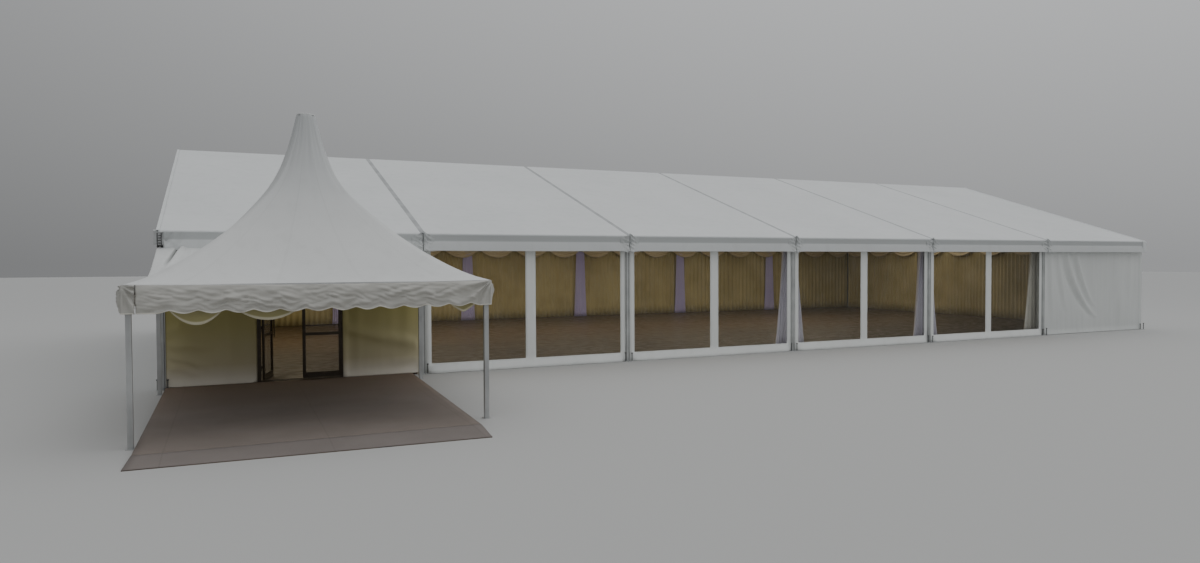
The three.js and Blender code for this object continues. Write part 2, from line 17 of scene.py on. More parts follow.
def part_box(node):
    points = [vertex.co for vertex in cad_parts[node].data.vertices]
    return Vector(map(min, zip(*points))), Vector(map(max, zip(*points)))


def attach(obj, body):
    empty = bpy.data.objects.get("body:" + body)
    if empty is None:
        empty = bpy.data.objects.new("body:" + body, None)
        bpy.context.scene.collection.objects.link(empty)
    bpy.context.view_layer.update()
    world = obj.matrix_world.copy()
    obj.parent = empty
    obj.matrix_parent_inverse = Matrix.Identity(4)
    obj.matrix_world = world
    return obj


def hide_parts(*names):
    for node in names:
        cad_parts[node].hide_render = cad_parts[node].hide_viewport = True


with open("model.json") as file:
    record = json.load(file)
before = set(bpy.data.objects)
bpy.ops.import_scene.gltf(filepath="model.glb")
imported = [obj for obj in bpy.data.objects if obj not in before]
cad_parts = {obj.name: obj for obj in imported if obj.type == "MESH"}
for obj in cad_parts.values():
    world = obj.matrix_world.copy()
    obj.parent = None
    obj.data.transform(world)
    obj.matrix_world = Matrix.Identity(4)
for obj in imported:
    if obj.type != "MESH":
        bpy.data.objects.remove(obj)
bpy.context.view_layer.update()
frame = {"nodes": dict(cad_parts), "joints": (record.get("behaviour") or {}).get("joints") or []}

# %% [markdown]
# ## The hall's grid
#
# A hall is set out on a grid: X along the front from the first frame, Y from the front legs to the
# rear ones, Z up. All places below are on that grid, in metres, and each finished mesh is moved to
# the solids' place.

# %% The hall's grid and its main sizes
BAY, BAYS, SPAN = 5.0, 6, 15.0
LENGTH = BAY * BAYS
EAVE, RIDGE, OVERHANG = 3.067, 5.55, 0.1
SLOPE = (RIDGE - EAVE) / (SPAN / 2 + OVERHANG)
LEG_HALF = 0.055
FLOOR_TOP = 0.065
WALL_GAP = 0.057  # from the middle of a leg to the edge of a front wall
WALL_FOOT, WALL_TOP, WALL_FACE = 0.013, 2.9, 0.016

first_low, first_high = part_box("portal_frame_1")
GRID = Vector(((first_low.x + first_high.x) / 2, first_low.y + 0.1, 0.0))


def roof_height(y):
    return RIDGE - abs(y - SPAN / 2) * SLOPE


def put(name, data):
    """Link a new object with this data into the scene"""
    made = bpy.data.objects.new(name, data)
    bpy.context.scene.collection.objects.link(made)
    return made


print("the grid starts at", list(GRID))

# %% [markdown]
# ## The camera
#
# The picture was taken from a slightly raised spot in front of the porch, with a wide lens. The
# camera comes first, because every later choice is judged through it. Its place was found by
# fitting the corners of the frames.

# %% The camera
lens_data = bpy.data.cameras.new("camera")
lens_data.lens, lens_data.sensor_width = 24.22, 36.0
lens_data.shift_x, lens_data.shift_y = -0.0056, 0.0005
camera = put("camera", lens_data)
camera.location = (-13.794, -21.898, 2.441)
camera.rotation_euler = [radians(angle) for angle in (90 - 1.469, 0.23, -25.006)]
bpy.context.scene.camera = camera
print("lens", lens_data.lens, "mm")

# %% [markdown]
# ## Helpers for finishes
#
# A finish is a small graph of nodes that ends in one shader, and a class keeps the graphs short.
# Some methods give a value, such as a cloudy pattern or a thin line at a steady pitch. Others paint
# a colour over what is there, or add a bump.

# %% A finish and its nodes
def add_node(tree, kind, inputs=(), output=0, **settings):
    """Add a node, set its settings, set or join its inputs, and give back one output"""
    made = tree.nodes.new("ShaderNode" + kind)
    for key, value in settings.items():
        setattr(made, key, value)
    for key, value in dict(inputs).items():
        if isinstance(value, bpy.types.NodeSocket):
            tree.links.new(value, made.inputs[key])
        else:
            made.inputs[key].default_value = value
    return made.outputs[output]


def shaded(colour, share):
    return [part * share for part in colour]


class Finish:
    """A material in the making, and the name of a slot kept with it"""

    def __init__(self, name, slot, roughness, metallic=0.0, **sockets):
        self.slot, self.material = slot, bpy.data.materials.new(name)
        self.material.use_nodes = True
        self.tree = self.material.node_tree
        self.shader = self.tree.nodes["Principled BSDF"].inputs
        for key, value in {"Roughness": roughness, "Metallic": metallic, **sockets}.items():
            self.shader[key.replace("_", " ")].default_value = value

    def node(self, kind, inputs=(), output=0, **settings):
        return add_node(self.tree, kind, inputs, output, **settings)

    def join(self, **sockets):
        for key, value in sockets.items():
            self.tree.links.new(value, self.shader[key.replace("_", " ")])

    def place(self):
        """The place in the hall, in metres"""
        return self.node("TexCoord", output="Object")

    def flat(self):
        """The place on the flat cloth, in metres"""
        return self.node("UVMap", output="UV", uv_map="cloth")

    def axis(self, place, letter):
        return self.node("SeparateXYZ", {"Vector": place}, letter)

    def maths(self, operation, *values):
        return self.node("Math", enumerate(values), operation=operation)

    def spread(self, value, low, high, out_low=0.0, out_high=1.0):
        """Stretch a value from one range to another"""
        return self.node("MapRange", {"Value": value, "From Min": low, "From Max": high,
                                      "To Min": out_low, "To Max": out_high})

    def mottle(self, place, scale, detail=3.0, low=0.35, high=0.65, stretch=None):
        """A cloudy pattern from 0 to 1, whose patches are about 1 / scale metres wide"""
        if stretch:
            place = self.node("Mapping", {"Vector": place, "Scale": stretch})
        inputs = {"Vector": place, "Scale": scale, "Detail": detail}
        return self.spread(self.node("TexNoise", inputs, "Fac"), low, high)

    def lines(self, value, pitch, width, start=0.0):
        """1 on thin lines at a steady pitch along a value, and 0 between them"""
        shifted = self.maths("SUBTRACT", value, start + pitch / 2)
        turned = self.maths("FLOORED_MODULO", shifted, pitch)
        far = self.maths("ABSOLUTE", self.maths("SUBTRACT", turned, pitch / 2))
        return self.spread(far, width, width * 0.5)

    def mix(self, share, *colours):
        """Make a mix of two colours, given as sockets or as red, green and blue, the base"""
        first, second = (colour if isinstance(colour, bpy.types.NodeSocket) else (*colour, 1.0)
                         for colour in colours)
        inputs = {0: share, 6: first, 7: second}
        self.join(Base_Color=self.node("Mix", inputs, 2, data_type="RGBA"))

    def paint(self, share, colour, strength=None):
        """Lay a colour over the base, by a share that the strength may weaken"""
        if strength is not None:
            share = self.maths("MULTIPLY", share, strength)
        self.mix(share, self.shader["Base Color"].links[0].from_socket, colour)

    def bump(self, height, strength, distance):
        """Raise the surface by a height, on top of the bumps that are there"""
        inputs = {"Height": height, "Strength": strength, "Distance": distance}
        for link in self.shader["Normal"].links:
            inputs["Normal"] = link.from_socket
        self.join(Normal=self.node("Bump", inputs))

    def weave(self, flat, scale, strength, distance):
        """The threads of a cloth, both ways"""
        inputs = {"Vector": flat, "Scale": scale}
        threads = [self.node("TexWave", inputs, "Fac", bands_direction=way) for way in "XY"]
        self.bump(self.maths("ADD", *threads), strength, distance)

    def gloss(self, pattern, low, high):
        """Let the roughness follow a pattern"""
        self.join(Roughness=self.spread(pattern, 0.0, 1.0, low, high))


# %% [markdown]
# ## Coated cloth
#
# Roof, walls and canopy are woven polyester under a soft white coating. Dirt gathers on it in
# clouds and thin runs, splashes grey its foot, and it is welded from strips with lapped seams. Dirt
# is read from the place in the hall, weave and seams from the sheet's own flat coordinates, so that
# they follow each fold. The valance and its loops have a bound, paler foot. The cream walls turn
# paler towards the foot as painted light below the canopy's shade, and their foot band is partly a
# pale hem, partly painted light. The fascia's upper band, where it is drawn in, is painted darker
# as shade, and the valance's grey white and the loops' darkened olive are painted shade.

# %% A coated cloth
ONE_STRIP = 50.0  # a pitch of seams that is wider than any sheet


def coated_cloth(name, slot, colour, dirt, seam_pitch=ONE_STRIP, seam_axis="Y", splashed=0.0):
    """splashed is the height up to which the cloth is splashed from the ground"""
    look = Finish(name, slot, 0.5, Specular_IOR_Level=0.35)
    place, flat = look.place(), look.flat()
    look.mix(look.mottle(place, 0.45, 4.0), shaded(colour, 0.955), colour)
    look.paint(look.mottle(place, 1.0, 3.0, 0.52, 0.8, stretch=(5.0, 5.0, 0.5)), dirt, 0.1)
    if splashed:
        low = look.spread(look.axis(place, "Z"), splashed, 0.0)
        splash = look.maths("MULTIPLY", low, look.mottle(place, 7.0, 4.0, 0.3, 0.75))
        look.paint(splash, dirt, 0.3)
    seam = look.lines(look.axis(flat, seam_axis), seam_pitch, 0.03, seam_pitch / 2)
    look.paint(seam, shaded(colour, 0.8), 0.12)
    look.weave(flat, 120.0, 0.08, 0.0003)
    look.bump(seam, 0.35, 0.0012)
    look.bump(look.mottle(place, 1.6, 3.0, 0.2, 0.8), 0.12, 0.012)
    look.gloss(look.mottle(place, 3.0), 0.42, 0.58)
    return look


def bound_cloth(name, slot, colour, lower, dirt, binding_colour, height, share, full=0.6):
    """A coated cloth that turns to its lower colour downwards, with a paler band along its foot.
    On the cream walls the paler foot is painted light below the canopy's shade, and the band is
    partly a pale hem, partly painted light
    """
    look = coated_cloth(name, slot, colour, dirt)
    up = look.axis(look.flat(), "Y")
    # Painted light on the cream walls: paler towards the foot, darker up in the canopy's shade
    look.paint(look.maths("POWER", look.spread(up, 2.4, 0.0), 2.2), lower)
    binding = look.spread(up, height, height * full, 0.0, share)
    look.paint(binding, binding_colour)
    look.bump(binding, 0.6, 0.002)
    return look


WHITE, WHITE_DIRT = (0.79, 0.8, 0.79), (0.36, 0.36, 0.33)
# Painted shade: the valance's eave white is the canopy's white made darker and warmer, and the
# loops' olive is darkened for cloth seen in the shadow behind the valance
SHADED_EAVE_WHITE, SHADED_LOOP_OLIVE, ROOF_DIRT = (0.57, 0.56, 0.52), (0.4, 0.36, 0.17), (0.36, 0.37, 0.34)
roof_cloth = coated_cloth("roof_cloth", "roof_cloth", (0.8, 0.82, 0.82), ROOF_DIRT, 2.5)
canopy_cloth = coated_cloth("canopy_cloth", "roof_cloth", WHITE, WHITE_DIRT)
wall_cloth = coated_cloth("wall_cloth", "wall_cloth", (0.78, 0.8, 0.785), (0.3, 0.3, 0.26),
                          1.25, "X", 0.05)
window_cloth = coated_cloth("window_cloth", "wall_cloth", (0.91, 0.93, 0.91), (0.34, 0.34, 0.3))
# Painted light: the cream walls' pale foot colour and foot band, below the canopy's shade; the band
# is partly a pale hem
cream_cloth = bound_cloth("cream_cloth", "wall_cloth", (0.44, 0.385, 0.105), (0.7, 0.635, 0.475),
                          (0.24, 0.2, 0.12), (0.95, 0.9, 0.8), 0.38, 0.75, 0.12)
valance_cloth = bound_cloth("valance_cloth", "roof_cloth", SHADED_EAVE_WHITE, SHADED_EAVE_WHITE,
                            (0.34, 0.33, 0.28), (0.84, 0.82, 0.74), 0.02, 1.0)
loop_cloth = bound_cloth("loop_cloth", "roof_cloth", SHADED_LOOP_OLIVE, SHADED_LOOP_OLIVE,
                         (0.24, 0.22, 0.12), (0.76, 0.72, 0.55), 0.036, 0.85)

fascia_cloth = look = coated_cloth("fascia_cloth", "roof_cloth", (0.72, 0.74, 0.74), ROOF_DIRT)
up = look.axis(look.flat(), "Y")
# Painted shade on the upper band, where the rail draws the strip in
look.paint(look.spread(up, 0.195, 0.225, 0.0, 0.75), (0.5, 0.52, 0.52))
look.bump(look.spread(up, 0.028, 0.024), 0.5, 0.002)
print("eight coated cloths, three of them bound")

# %% [markdown]
# ## The cloths hung inside
#
# The lining is a soft ivory cotton, and the drapes over the legs are thin voile. The lilac on some
# drapes is painted light, the wash of purple lamps, and the swags are paler than the lining as
# painted light from above. Soft cloth has no gloss, only a little sheen at its edges.

# %% Lining and voile
def soft_cloth(name, colour, shadow, sheen):
    look = Finish(name, "lining_cloth", 0.85, Specular_IOR_Level=0.2, Sheen_Weight=sheen)
    flat = look.flat()
    slub = look.mottle(flat, 1.0, stretch=(60.0, 4.0, 1.0))
    look.mix(look.mottle(look.place(), 0.8), shadow, colour)
    look.paint(slub, shadow, 0.15)
    look.weave(flat, 160.0, 0.12, 0.0004)
    look.bump(slub, 0.15, 0.001)
    return look


lining_cloth = soft_cloth("lining_cloth", (0.63, 0.56, 0.32), (0.49, 0.425, 0.225), 0.2)
# Painted light: paler than the lining, for the swags lit from above
lit_swag_cloth = soft_cloth("lit_swag_cloth", (0.86, 0.77, 0.58), (0.7, 0.61, 0.43), 0.2)
voile = soft_cloth("voile", (0.93, 0.9, 0.97), (0.84, 0.8, 0.92), 0.3)
# Painted light: lilac for the wash of purple lamps on the voile
lilac_lit_voile = soft_cloth("lilac_lit_voile", (0.66, 0.62, 1.0), (0.58, 0.53, 0.95), 0.3)
cream_voile = soft_cloth("cream_voile", (0.74, 0.72, 0.64), (0.64, 0.62, 0.53), 0.3)
print("lining, swags and three kinds of voile")

# %% [markdown]
# ## Clear sheets and glass
#
# The windows are clear film, slightly milky and wavy, and it mirrors more at a slant. A blend by
# the facing angle sets the shader's alpha, so that light still reaches the inside. The door panes
# are flatter and darker.

# %% Clear sheet and glass
def clear_finish(name, slot, colour, roughness, least, wave):
    """least is how much of the sheet shows where it is seen squarely"""
    look = Finish(name, slot, roughness, Base_Color=(*colour, 1.0), Specular_IOR_Level=0.6)
    place = look.place()
    look.bump(look.mottle(place, 1.7, 2.0, 0.2, 0.8), 0.5, wave)
    haze = look.maths("MULTIPLY", look.mottle(place, 2.0, 4.0, 0.45, 0.8, (2.0, 2.0, 0.6)), 0.03)
    slant = look.node("LayerWeight", {"Blend": 0.5}, "Facing")
    sight = look.spread(look.maths("POWER", slant, 4.0), 0.0, 1.0, least, 0.9)
    look.join(Alpha=look.maths("ADD", sight, haze))
    return look


clear_film = clear_finish("clear_film", "clear_sheet", (0.5, 0.5, 0.47), 0.07, 0.035, 0.02)
door_pane = clear_finish("door_pane", None, (0.42, 0.38, 0.31), 0.04, 0.1, 0.002)
print("see-through finishes for the windows and the door")

# %% [markdown]
# ## Metal, boards and felt
#
# The frame is drawn aluminium with a brushed grain and dull patches. Each leg has two grooves for
# the cloth edges, drawn here from the distance to the nearest frame, with painted shade in them.
# The floors are dark boards, and felt covers the porch.

# %% Mill aluminium and steel
def metal_finish(name, slot, colour, grooves=()):
    look = Finish(name, slot, 0.42, 0.6)
    place = look.place()
    grain = look.mottle(place, 1.0, stretch=(90.0, 90.0, 1.5))
    look.mix(look.mottle(place, 2.2, 4.0), shaded(colour, 0.78), colour)
    look.bump(grain, 0.1, 0.0006)
    for side in grooves:
        groove = look.lines(look.axis(place, "X"), BAY, 0.008, GRID.x + side)
        # Painted shade in the groove
        look.paint(groove, (0.1, 0.1, 0.1))
        look.bump(groove, 0.6, -0.004)
    look.gloss(grain, 0.36, 0.5)
    return look


frame_alloy = metal_finish("frame_alloy", None, (0.62, 0.635, 0.63), (-0.034, 0.034))
rail_alloy = metal_finish("rail_alloy", None, (0.56, 0.57, 0.57))
seam_alloy = metal_finish("seam_alloy", "alloy", (0.5, 0.515, 0.52))
stake_steel = metal_finish("stake_steel", "steel", (0.1, 0.1, 0.1))
print("three aluminium finishes and one of steel")

# %% Dark painted door metal
bronze_paint = look = Finish("bronze_paint", "dark_frame", 0.45, 0.3)
bronze, place = (0.06, 0.047, 0.032), look.place()
look.mix(look.mottle(place, 14.0, 5.0, 0.5, 0.75), bronze, shaded(bronze, 1.5))
look.gloss(look.mottle(place, 30.0), 0.35, 0.55)
look.bump(look.mottle(place, 160.0), 0.1, 0.0003)
print("dark paint for the door, its base colour", bronze)


# %% Dark boards
def board_finish(name, dark, light, width):
    look = Finish(name, None, 0.5, Specular_IOR_Level=0.4)
    place = look.place()
    boards = look.node("TexBrick", {
        "Vector": place, "Color1": (*dark, 1.0), "Color2": (*light, 1.0),
        "Mortar": (0.01, 0.008, 0.006, 1.0), "Scale": 1.0, "Mortar Size": 0.003, "Bias": 0.0,
        "Brick Width": 2.4, "Row Height": width,
    })
    grain = look.mottle(place, 1.0, 5.0, stretch=(2.5, 45.0, 10.0))
    look.join(Base_Color=boards)
    look.paint(grain, dark, 0.3)
    look.bump(boards.node.outputs["Fac"], 0.4, -0.002)
    look.bump(grain, 0.1, 0.0008)
    look.gloss(look.mottle(place, 5.0), 0.38, 0.62)
    return look


dark_boards = board_finish("dark_boards", (0.085, 0.06, 0.04), (0.145, 0.105, 0.075), 0.19)
deck_boards = board_finish("deck_boards", (0.1, 0.065, 0.04), (0.17, 0.115, 0.075), 0.14)
print("boards for the hall and for the porch")


# %% Needle felt
def felt_finish(name, slot, colour, fleck, far):
    """Needle felt, darker and browner towards the hall: painted shade under the canopy, warmed by
    light off the cream walls; far is its tint there
    """
    look = Finish(name, slot, 0.95, Specular_IOR_Level=0.04, Sheen_Weight=0.05)
    place = look.place()
    look.mix(look.mottle(place, 0.9, 4.0), shaded(colour, 0.86), colour)
    hairs = look.mottle(place, 220.0, 2.0)
    look.paint(hairs, fleck, 0.35)
    # Painted shade towards the hall, under the canopy
    look.paint(look.spread(look.axis(place, "Y"), GRID.y - 3.6, GRID.y - 0.4, 0.0, 0.75), far)
    seam = look.lines(look.axis(place, "X"), 2.0, 0.012, GRID.x + 0.4)
    look.paint(seam, shaded(colour, 0.6), 0.2)
    look.bump(hairs, 0.5, 0.002)
    look.bump(seam, 0.25, -0.002)
    return look


porch_felt = felt_finish("porch_felt", "carpet", (0.275, 0.232, 0.205), (0.38, 0.33, 0.295),
                         (0.25, 0.18, 0.125))
ramp_felt = felt_finish("ramp_felt", "ramp_carpet", (0.265, 0.232, 0.215), (0.34, 0.305, 0.285),
                        (0.22, 0.19, 0.17))
print("felt for the porch and for its ramp")

# %% [markdown]
# ## Helpers for cloth
#
# A sheet starts as an even grid of faces. Each point has a place on the flat cloth, in metres
# across and along, and a rule sends it to where the cloth hangs, with its folds, sag and hems. The
# flat place stays with it as coordinates for the weave, and gives the cut size.

# %% Steps along a cloth, and a grid sent to its place
def marks(stops, step):
    """Places along a line: every stop, or 0 and an end, and even steps of one or several sizes"""
    stops = stops if isinstance(stops, list) else [0.0, stops]
    steps = step if isinstance(step, tuple) else [step] * len(stops)
    places = [stops[0]]
    for a, b, most in zip(stops, stops[1:], steps):
        count = max(1, ceil((b - a) / most))
        places += [a + (b - a) * (i + 1) / count for i in range(count)]
    return places


def cloth_mesh(across, along, place, gone=None):
    """A grid of faces over the flat places, moved to where the rule says, without its cut-outs"""
    bm = bmesh.new()
    flat = bm.loops.layers.uv.new("cloth")
    columns, rows = len(across) - 1, len(along) - 1
    bmesh.ops.create_grid(bm, x_segments=columns, y_segments=rows, size=0.5)
    spots = {
        v: (across[round((v.co.x + 0.5) * columns)], along[round((v.co.y + 0.5) * rows)])
        for v in bm.verts
    }
    cut_out = []
    for face in bm.faces:
        corners = [spots[loop.vert] for loop in face.loops]
        middle = [sum(values) / len(values) for values in zip(*corners)]
        if gone and gone(*middle):
            cut_out.append(face)
        for loop, spot in zip(face.loops, corners):
            loop[flat].uv = spot
    for v, spot in spots.items():
        v.co = place(*spot)
    bmesh.ops.delete(bm, geom=cut_out, context="FACES")
    return bm


def path_length(points):
    return sum((b - a).length for a, b in zip(points, points[1:]))


# %% Settle a finished mesh as a piece
def settle(bm, name, finish, body="hall", stands_for=(), smooth=True):
    """Move a mesh from the hall's grid to its place, and make it a piece that rides on a body"""
    bmesh.ops.translate(bm, verts=bm.verts, vec=GRID)
    mesh = bpy.data.meshes.new(name)
    bm.to_mesh(mesh)
    bm.free()
    mesh.materials.append(finish.material)
    if smooth:
        mesh.shade_smooth()
    piece = put(name, mesh)
    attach(piece, body)
    if stands_for:
        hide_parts(*stands_for)
    return piece


def thicken(piece, thick, offset=0.0):
    wall = piece.modifiers.new("cloth", "SOLIDIFY")
    wall.thickness, wall.offset = thick, offset


def hang(name, across, along, place, finish, stands_for=(), thick=0.003,
         gone=None, strip=None):
    """Make a cloth from its stops and steps both ways, and print its cut size, or its strip's"""
    across, along = marks(*across), marks(*along)
    bm = cloth_mesh(across, along, place, gone)
    width = max(path_length([Vector(place(a, b)) for a in across])
                for b in (along[0], along[len(along) // 2], along[-1]))
    length = max(path_length([Vector(place(a, b)) for b in along])
                 for a in (across[0], across[len(across) // 2], across[-1]))
    area = sum(face.calc_area() for face in bm.faces)
    piece = settle(bm, name, finish, stands_for=stands_for)
    thicken(piece, thick)
    if strip:
        width, length = strip, area / strip
    print(f"{name}: cut {width:.2f} x {length:.2f} m, {area:.2f} square metres")


# %% Shapes that many folds share
def wander(a, b, seed, scale):
    """A smooth, repeatable unevenness from -1 to 1 over the flat cloth"""
    return noise.noise(Vector((a * scale, b * scale, seed)))


def ripples(a, b, *waves):
    """A sum of unevennesses, each with its size, its stretch along b, its seed and its scale"""
    return sum(size * wander(a, b * stretch, seed, scale) for size, stretch, seed, scale in waves)


def bell(distance, width):
    return exp(-(distance / width) ** 2)


def arch(share, power=1.0):
    """0 at both ends of a span and 1 in its middle"""
    return max(sin(pi * share), 0.0) ** power


def clamp(value):
    return min(max(value, 0.0), 1.0)


def inset(across, width, reach):
    """0 at both edges of a width, and 1 from this far inside them"""
    return min(1.0, across / reach, (width - across) / reach)


def as_drawn(*spot):
    return spot


# %% [markdown]
# ## The roof sheets
#
# Each bay has one sheet, from the front eave over the ridge to the rear eave. Its edges slide in
# rails on the rafters, so it is straight there and sags a little in the middle of the bay. At the
# eave it turns down over the rail.

# %% The line of the roof across the hall
DRIP, BEND, LIP = 0.035, 0.03, 0.02  # the lip is how far a sheet goes past the rafter's end
RAFTER_GAP = 0.0225  # from the middle of a rafter to the edge of a sheet
roof_reach = SPAN / 2 + OVERHANG + LIP
half_slope = hypot(roof_reach, roof_reach * SLOPE)
roof_length = 2 * (half_slope + DRIP)
roof_half = roof_length / 2


def roof_line(along):
    """Place and height on the roof's outline, this far along the cloth from the front drip edge"""
    front_half = min(along, roof_length - along)
    edge = -(OVERHANG + LIP)
    if front_half < DRIP:
        y, z = edge - 0.004, roof_height(edge) - (DRIP - front_half)
    else:
        y = edge + (front_half - DRIP) * (SPAN / 2 - edge) / half_slope
        z = roof_height(y)
    return (y, z) if along <= roof_half else (SPAN - y, z)


print(f"a roof sheet is {roof_length:.2f} m long from one drip edge to the other")

# %% Six roof sheets
def roof_sheet(bay):
    x0 = bay * BAY + RAFTER_GAP if bay else -LEG_HALF + 0.03
    x1 = (bay + 1) * BAY - RAFTER_GAP if bay < BAYS - 1 else LENGTH + LEG_HALF - 0.03

    def place(across, along):
        y, z = roof_line(along)
        inside = clamp((x0 + across - bay * BAY - 0.06) / (BAY - 0.12))
        down_slope = clamp(abs(y - SPAN / 2) / (SPAN / 2))
        hold = arch(inside) * arch(down_slope, 0.6)
        sag = 0.022 * hold + 0.006 * hold * wander(across, along, bay, 0.8)
        return x0 + across, y, z + 0.0028 - sag

    stops = [0.0, DRIP * 0.5, DRIP, DRIP + BEND, roof_half - BEND, roof_half, roof_half + BEND,
             roof_length - DRIP - BEND, roof_length - DRIP, roof_length - DRIP * 0.5, roof_length]
    hang(f"roof_cloth_{bay + 1}", ([0.0, 0.05, x1 - x0 - 0.05, x1 - x0], 0.25), (stops, 0.28),
         place, roof_cloth,
         [f"roof_sheet_{bay + 1}"])


for bay in range(BAYS):
    roof_sheet(bay)

# %% [markdown]
# ## The keder rails on the rafters
#
# Between two roof sheets the rail shows as a thin grey line: a narrow grid bent over the ridge and
# given a thickness. On the end frames a strip of cloth trims the verge.

# %% Five rails and two verge strips
def rafter_strip(name, x0, width, lift, thick, finish):
    start = DRIP + 0.01
    reach = roof_half - start

    def place(across, along):
        y, z = roof_line(along + start)
        return x0 + across, y, z + lift + (0.0 if 0 < across < width else -0.002)

    bm = cloth_mesh(marks([0.0, 0.006, width - 0.006, width], 0.05),
                    marks([0.0, reach, 2 * reach], 0.5), place)
    thicken(settle(bm, name, finish, smooth=False), thick)


for n in range(1, BAYS):
    rafter_strip(f"keder_rail_{n + 1}", n * BAY - 0.055, 0.11, 0.0035, 0.005, seam_alloy)
rafter_strip("verge_strip_left", -LEG_HALF - 0.006, 0.056, 0.011, 0.006, roof_cloth)
rafter_strip("verge_strip_right", LENGTH + LEG_HALF - 0.05, 0.056, 0.011, 0.006, roof_cloth)
print("five rails and two verge strips")

# %% [markdown]
# ## The fascias
#
# Below the roof edge hangs a strip of cloth. A rail draws it in at half its depth, so its upper
# band faces down and is painted darker as shade, and its lower band flares out over a hem. Each bay
# has its own strip, laced at the frames, where it puckers beside a dark slit. The front fascia's
# left end has come loose and puckers most. The rear fascia is the same strip turned half round.

# %% Front and rear fascia strips
FASCIA_FOOT, FASCIA_TOP = 2.687, EAVE - 0.03
STRIP_GAP = 0.009  # from the middle of a frame to the end of a strip
FAR_OFF = 9.0


def fascia_face(down):
    """How far the strip stands out from the legs, this far below the roof edge"""
    if down < 0.14:
        return 0.131 - 0.027 * (down / 0.14) ** 0.7
    return 0.104 + 0.046 * ((down - 0.14) / 0.24) ** 0.6


def on_side(side, x, out, z):
    """A place in front of the front legs, or that place turned half round to the rear"""
    return (LENGTH - x, SPAN + out, z) if side == "rear" else (x, -out, z)


def fascia_strip(bay, side):
    tied_left, tied_right = bay or side == "front", bay < BAYS - 1
    start = bay * BAY + (STRIP_GAP if bay else 0.06 if tied_left else -LEG_HALF)
    width = (bay + 1) * BAY - (STRIP_GAP if tied_right else -LEG_HALF) - start
    depth = FASCIA_TOP - FASCIA_FOOT

    def place(across, along):
        x, down = start + across, depth - along
        near = min(across if tied_left else FAR_OFF, width - across if tied_right else FAR_OFF)
        pucker = bell(near, 0.15) if bay or across > 1 else 1.8 * bell(near, 0.28)
        fold = sin(22.0 * down + 30.0 * near) + 1.2 * wander(x, down, 3.0, 9.0)
        out = fascia_face(down) + 0.004 + 0.012 * pucker * fold
        out += 0.002 * wander(x, down * 3.0, 5.0, 1.4)
        drop = 0.005 * sin(pi * across / width) + 0.003 * wander(x, 0.0, 9.0, 0.9)
        return on_side(side, x, out, FASCIA_TOP - down - drop * down / depth)

    hang(f"fascia_cloth_{side}_{bay + 1}", ([0.0, 0.4, width - 0.4, width], (0.025, 0.14, 0.025)),
         ([0.0, 0.012, 0.03, depth - 0.145, depth - 0.135, depth], 0.028), place, fascia_cloth,
         [f"fascia_{side}"])


for bay in range(BAYS):
    for side in ("front", "rear"):
        fascia_strip(bay, side)


# %% Crumpled ends where two strips meet
def fascia_tab(n, side, beyond):
    """The loose end of a strip, bunched by its lacing; beyond is -1 before the frame, 1 after it"""
    wide, tall = 0.24, 0.36

    def place(across, along):
        from_frame, up = wide - across, along / tall
        grip = bell(from_frame, 0.16)
        ray = sin(26.0 * up + 34.0 * from_frame * beyond + 2.0 * n) * 0.6
        crumple = ray + 1.6 * wander(from_frame * 1.4, along, 700.0 + n * 2 + beyond, 11.0)
        out = 0.15 + grip * (0.03 * crumple - 0.04 * bell(from_frame, 0.02)) - 0.03 * (1 - grip)
        lift = bell(from_frame, 0.06) * 0.075 * max(0.0, up - 0.6) / 0.4
        lift += grip * 0.014 * wander(from_frame, n, 705.0 + beyond, 9.0)
        z = FASCIA_FOOT - 0.006 + along + lift - 0.02 * grip * (1 - up)
        return on_side(side, n * BAY + beyond * (0.007 + from_frame), out, z)

    hang(f"fascia_tab_{side}_{n + 1}{'a' if beyond < 0 else 'b'}", (wide, 0.014), (tall, 0.016),
         place, fascia_cloth, thick=0.002)


for n in range(1, BAYS):
    for beyond in (-1, 1):
        for side in ("front", "rear"):
            fascia_tab(n, side, beyond)

# %% [markdown]
# ## The fascia's corner ends
#
# At three corners a square cap with soft edges closes the strip and wraps round to the gable. At
# the front left corner it is missing, and the steel lacing behind the strip shows.

# %% Three corner ends
def soft_block(bm, low, high, edge, segments=2):
    """A block with rounded edges, added to a mesh"""
    low, high = Vector(low), Vector(high)
    made = bmesh.ops.create_cube(bm, size=1.0, matrix=Matrix.Translation((low + high) / 2)
                                 @ Matrix.Diagonal((*(high - low), 1.0)))
    edges = list({e for v in made["verts"] for e in v.link_edges})
    bmesh.ops.bevel(bm, geom=edges, offset=edge, offset_type="OFFSET", affect="EDGES",
                    segments=segments, profile=0.5, material=-1)


for name, x0, x1 in (("left", -0.058, 0.1), ("right", LENGTH - 0.12, LENGTH + 0.06)):
    bm = bmesh.new()
    for y0, y1 in ((-0.152, -0.001), (SPAN + 0.013, SPAN + 0.152)):
        if x0 > 0 or y0 > 0:
            soft_block(bm, (x0, y0, FASCIA_FOOT - 0.004), (x1, y1, EAVE - 0.012), 0.012)
    settle(bm, f"fascia_ends_{name}", roof_cloth, smooth=False)
print("corner ends on both gables")

# %% The laced end at the front left corner
bm = bmesh.new()
lacing_foot = FASCIA_FOOT - 0.11
for step in range(9):
    z = lacing_foot + 0.048 * step
    left = -0.052 + 0.03 * abs(sin(step * 2.1))
    right = 0.05 - 0.034 * abs(sin(step * 1.3 + 1.0))
    rear = -0.112 + 0.01 * sin(step * 3.0)
    soft_block(bm, (left, -0.128, z), (right, rear, z + 0.016), 0.004, 1)
for left, right in ((-0.052, -0.036), (0.018, 0.03)):
    soft_block(bm, (left, -0.112, lacing_foot), (right, -0.002, EAVE - 0.05), 0.004, 1)
settle(bm, "corner_lacing", stake_steel, smooth=False)
print("nine laces on two bars")
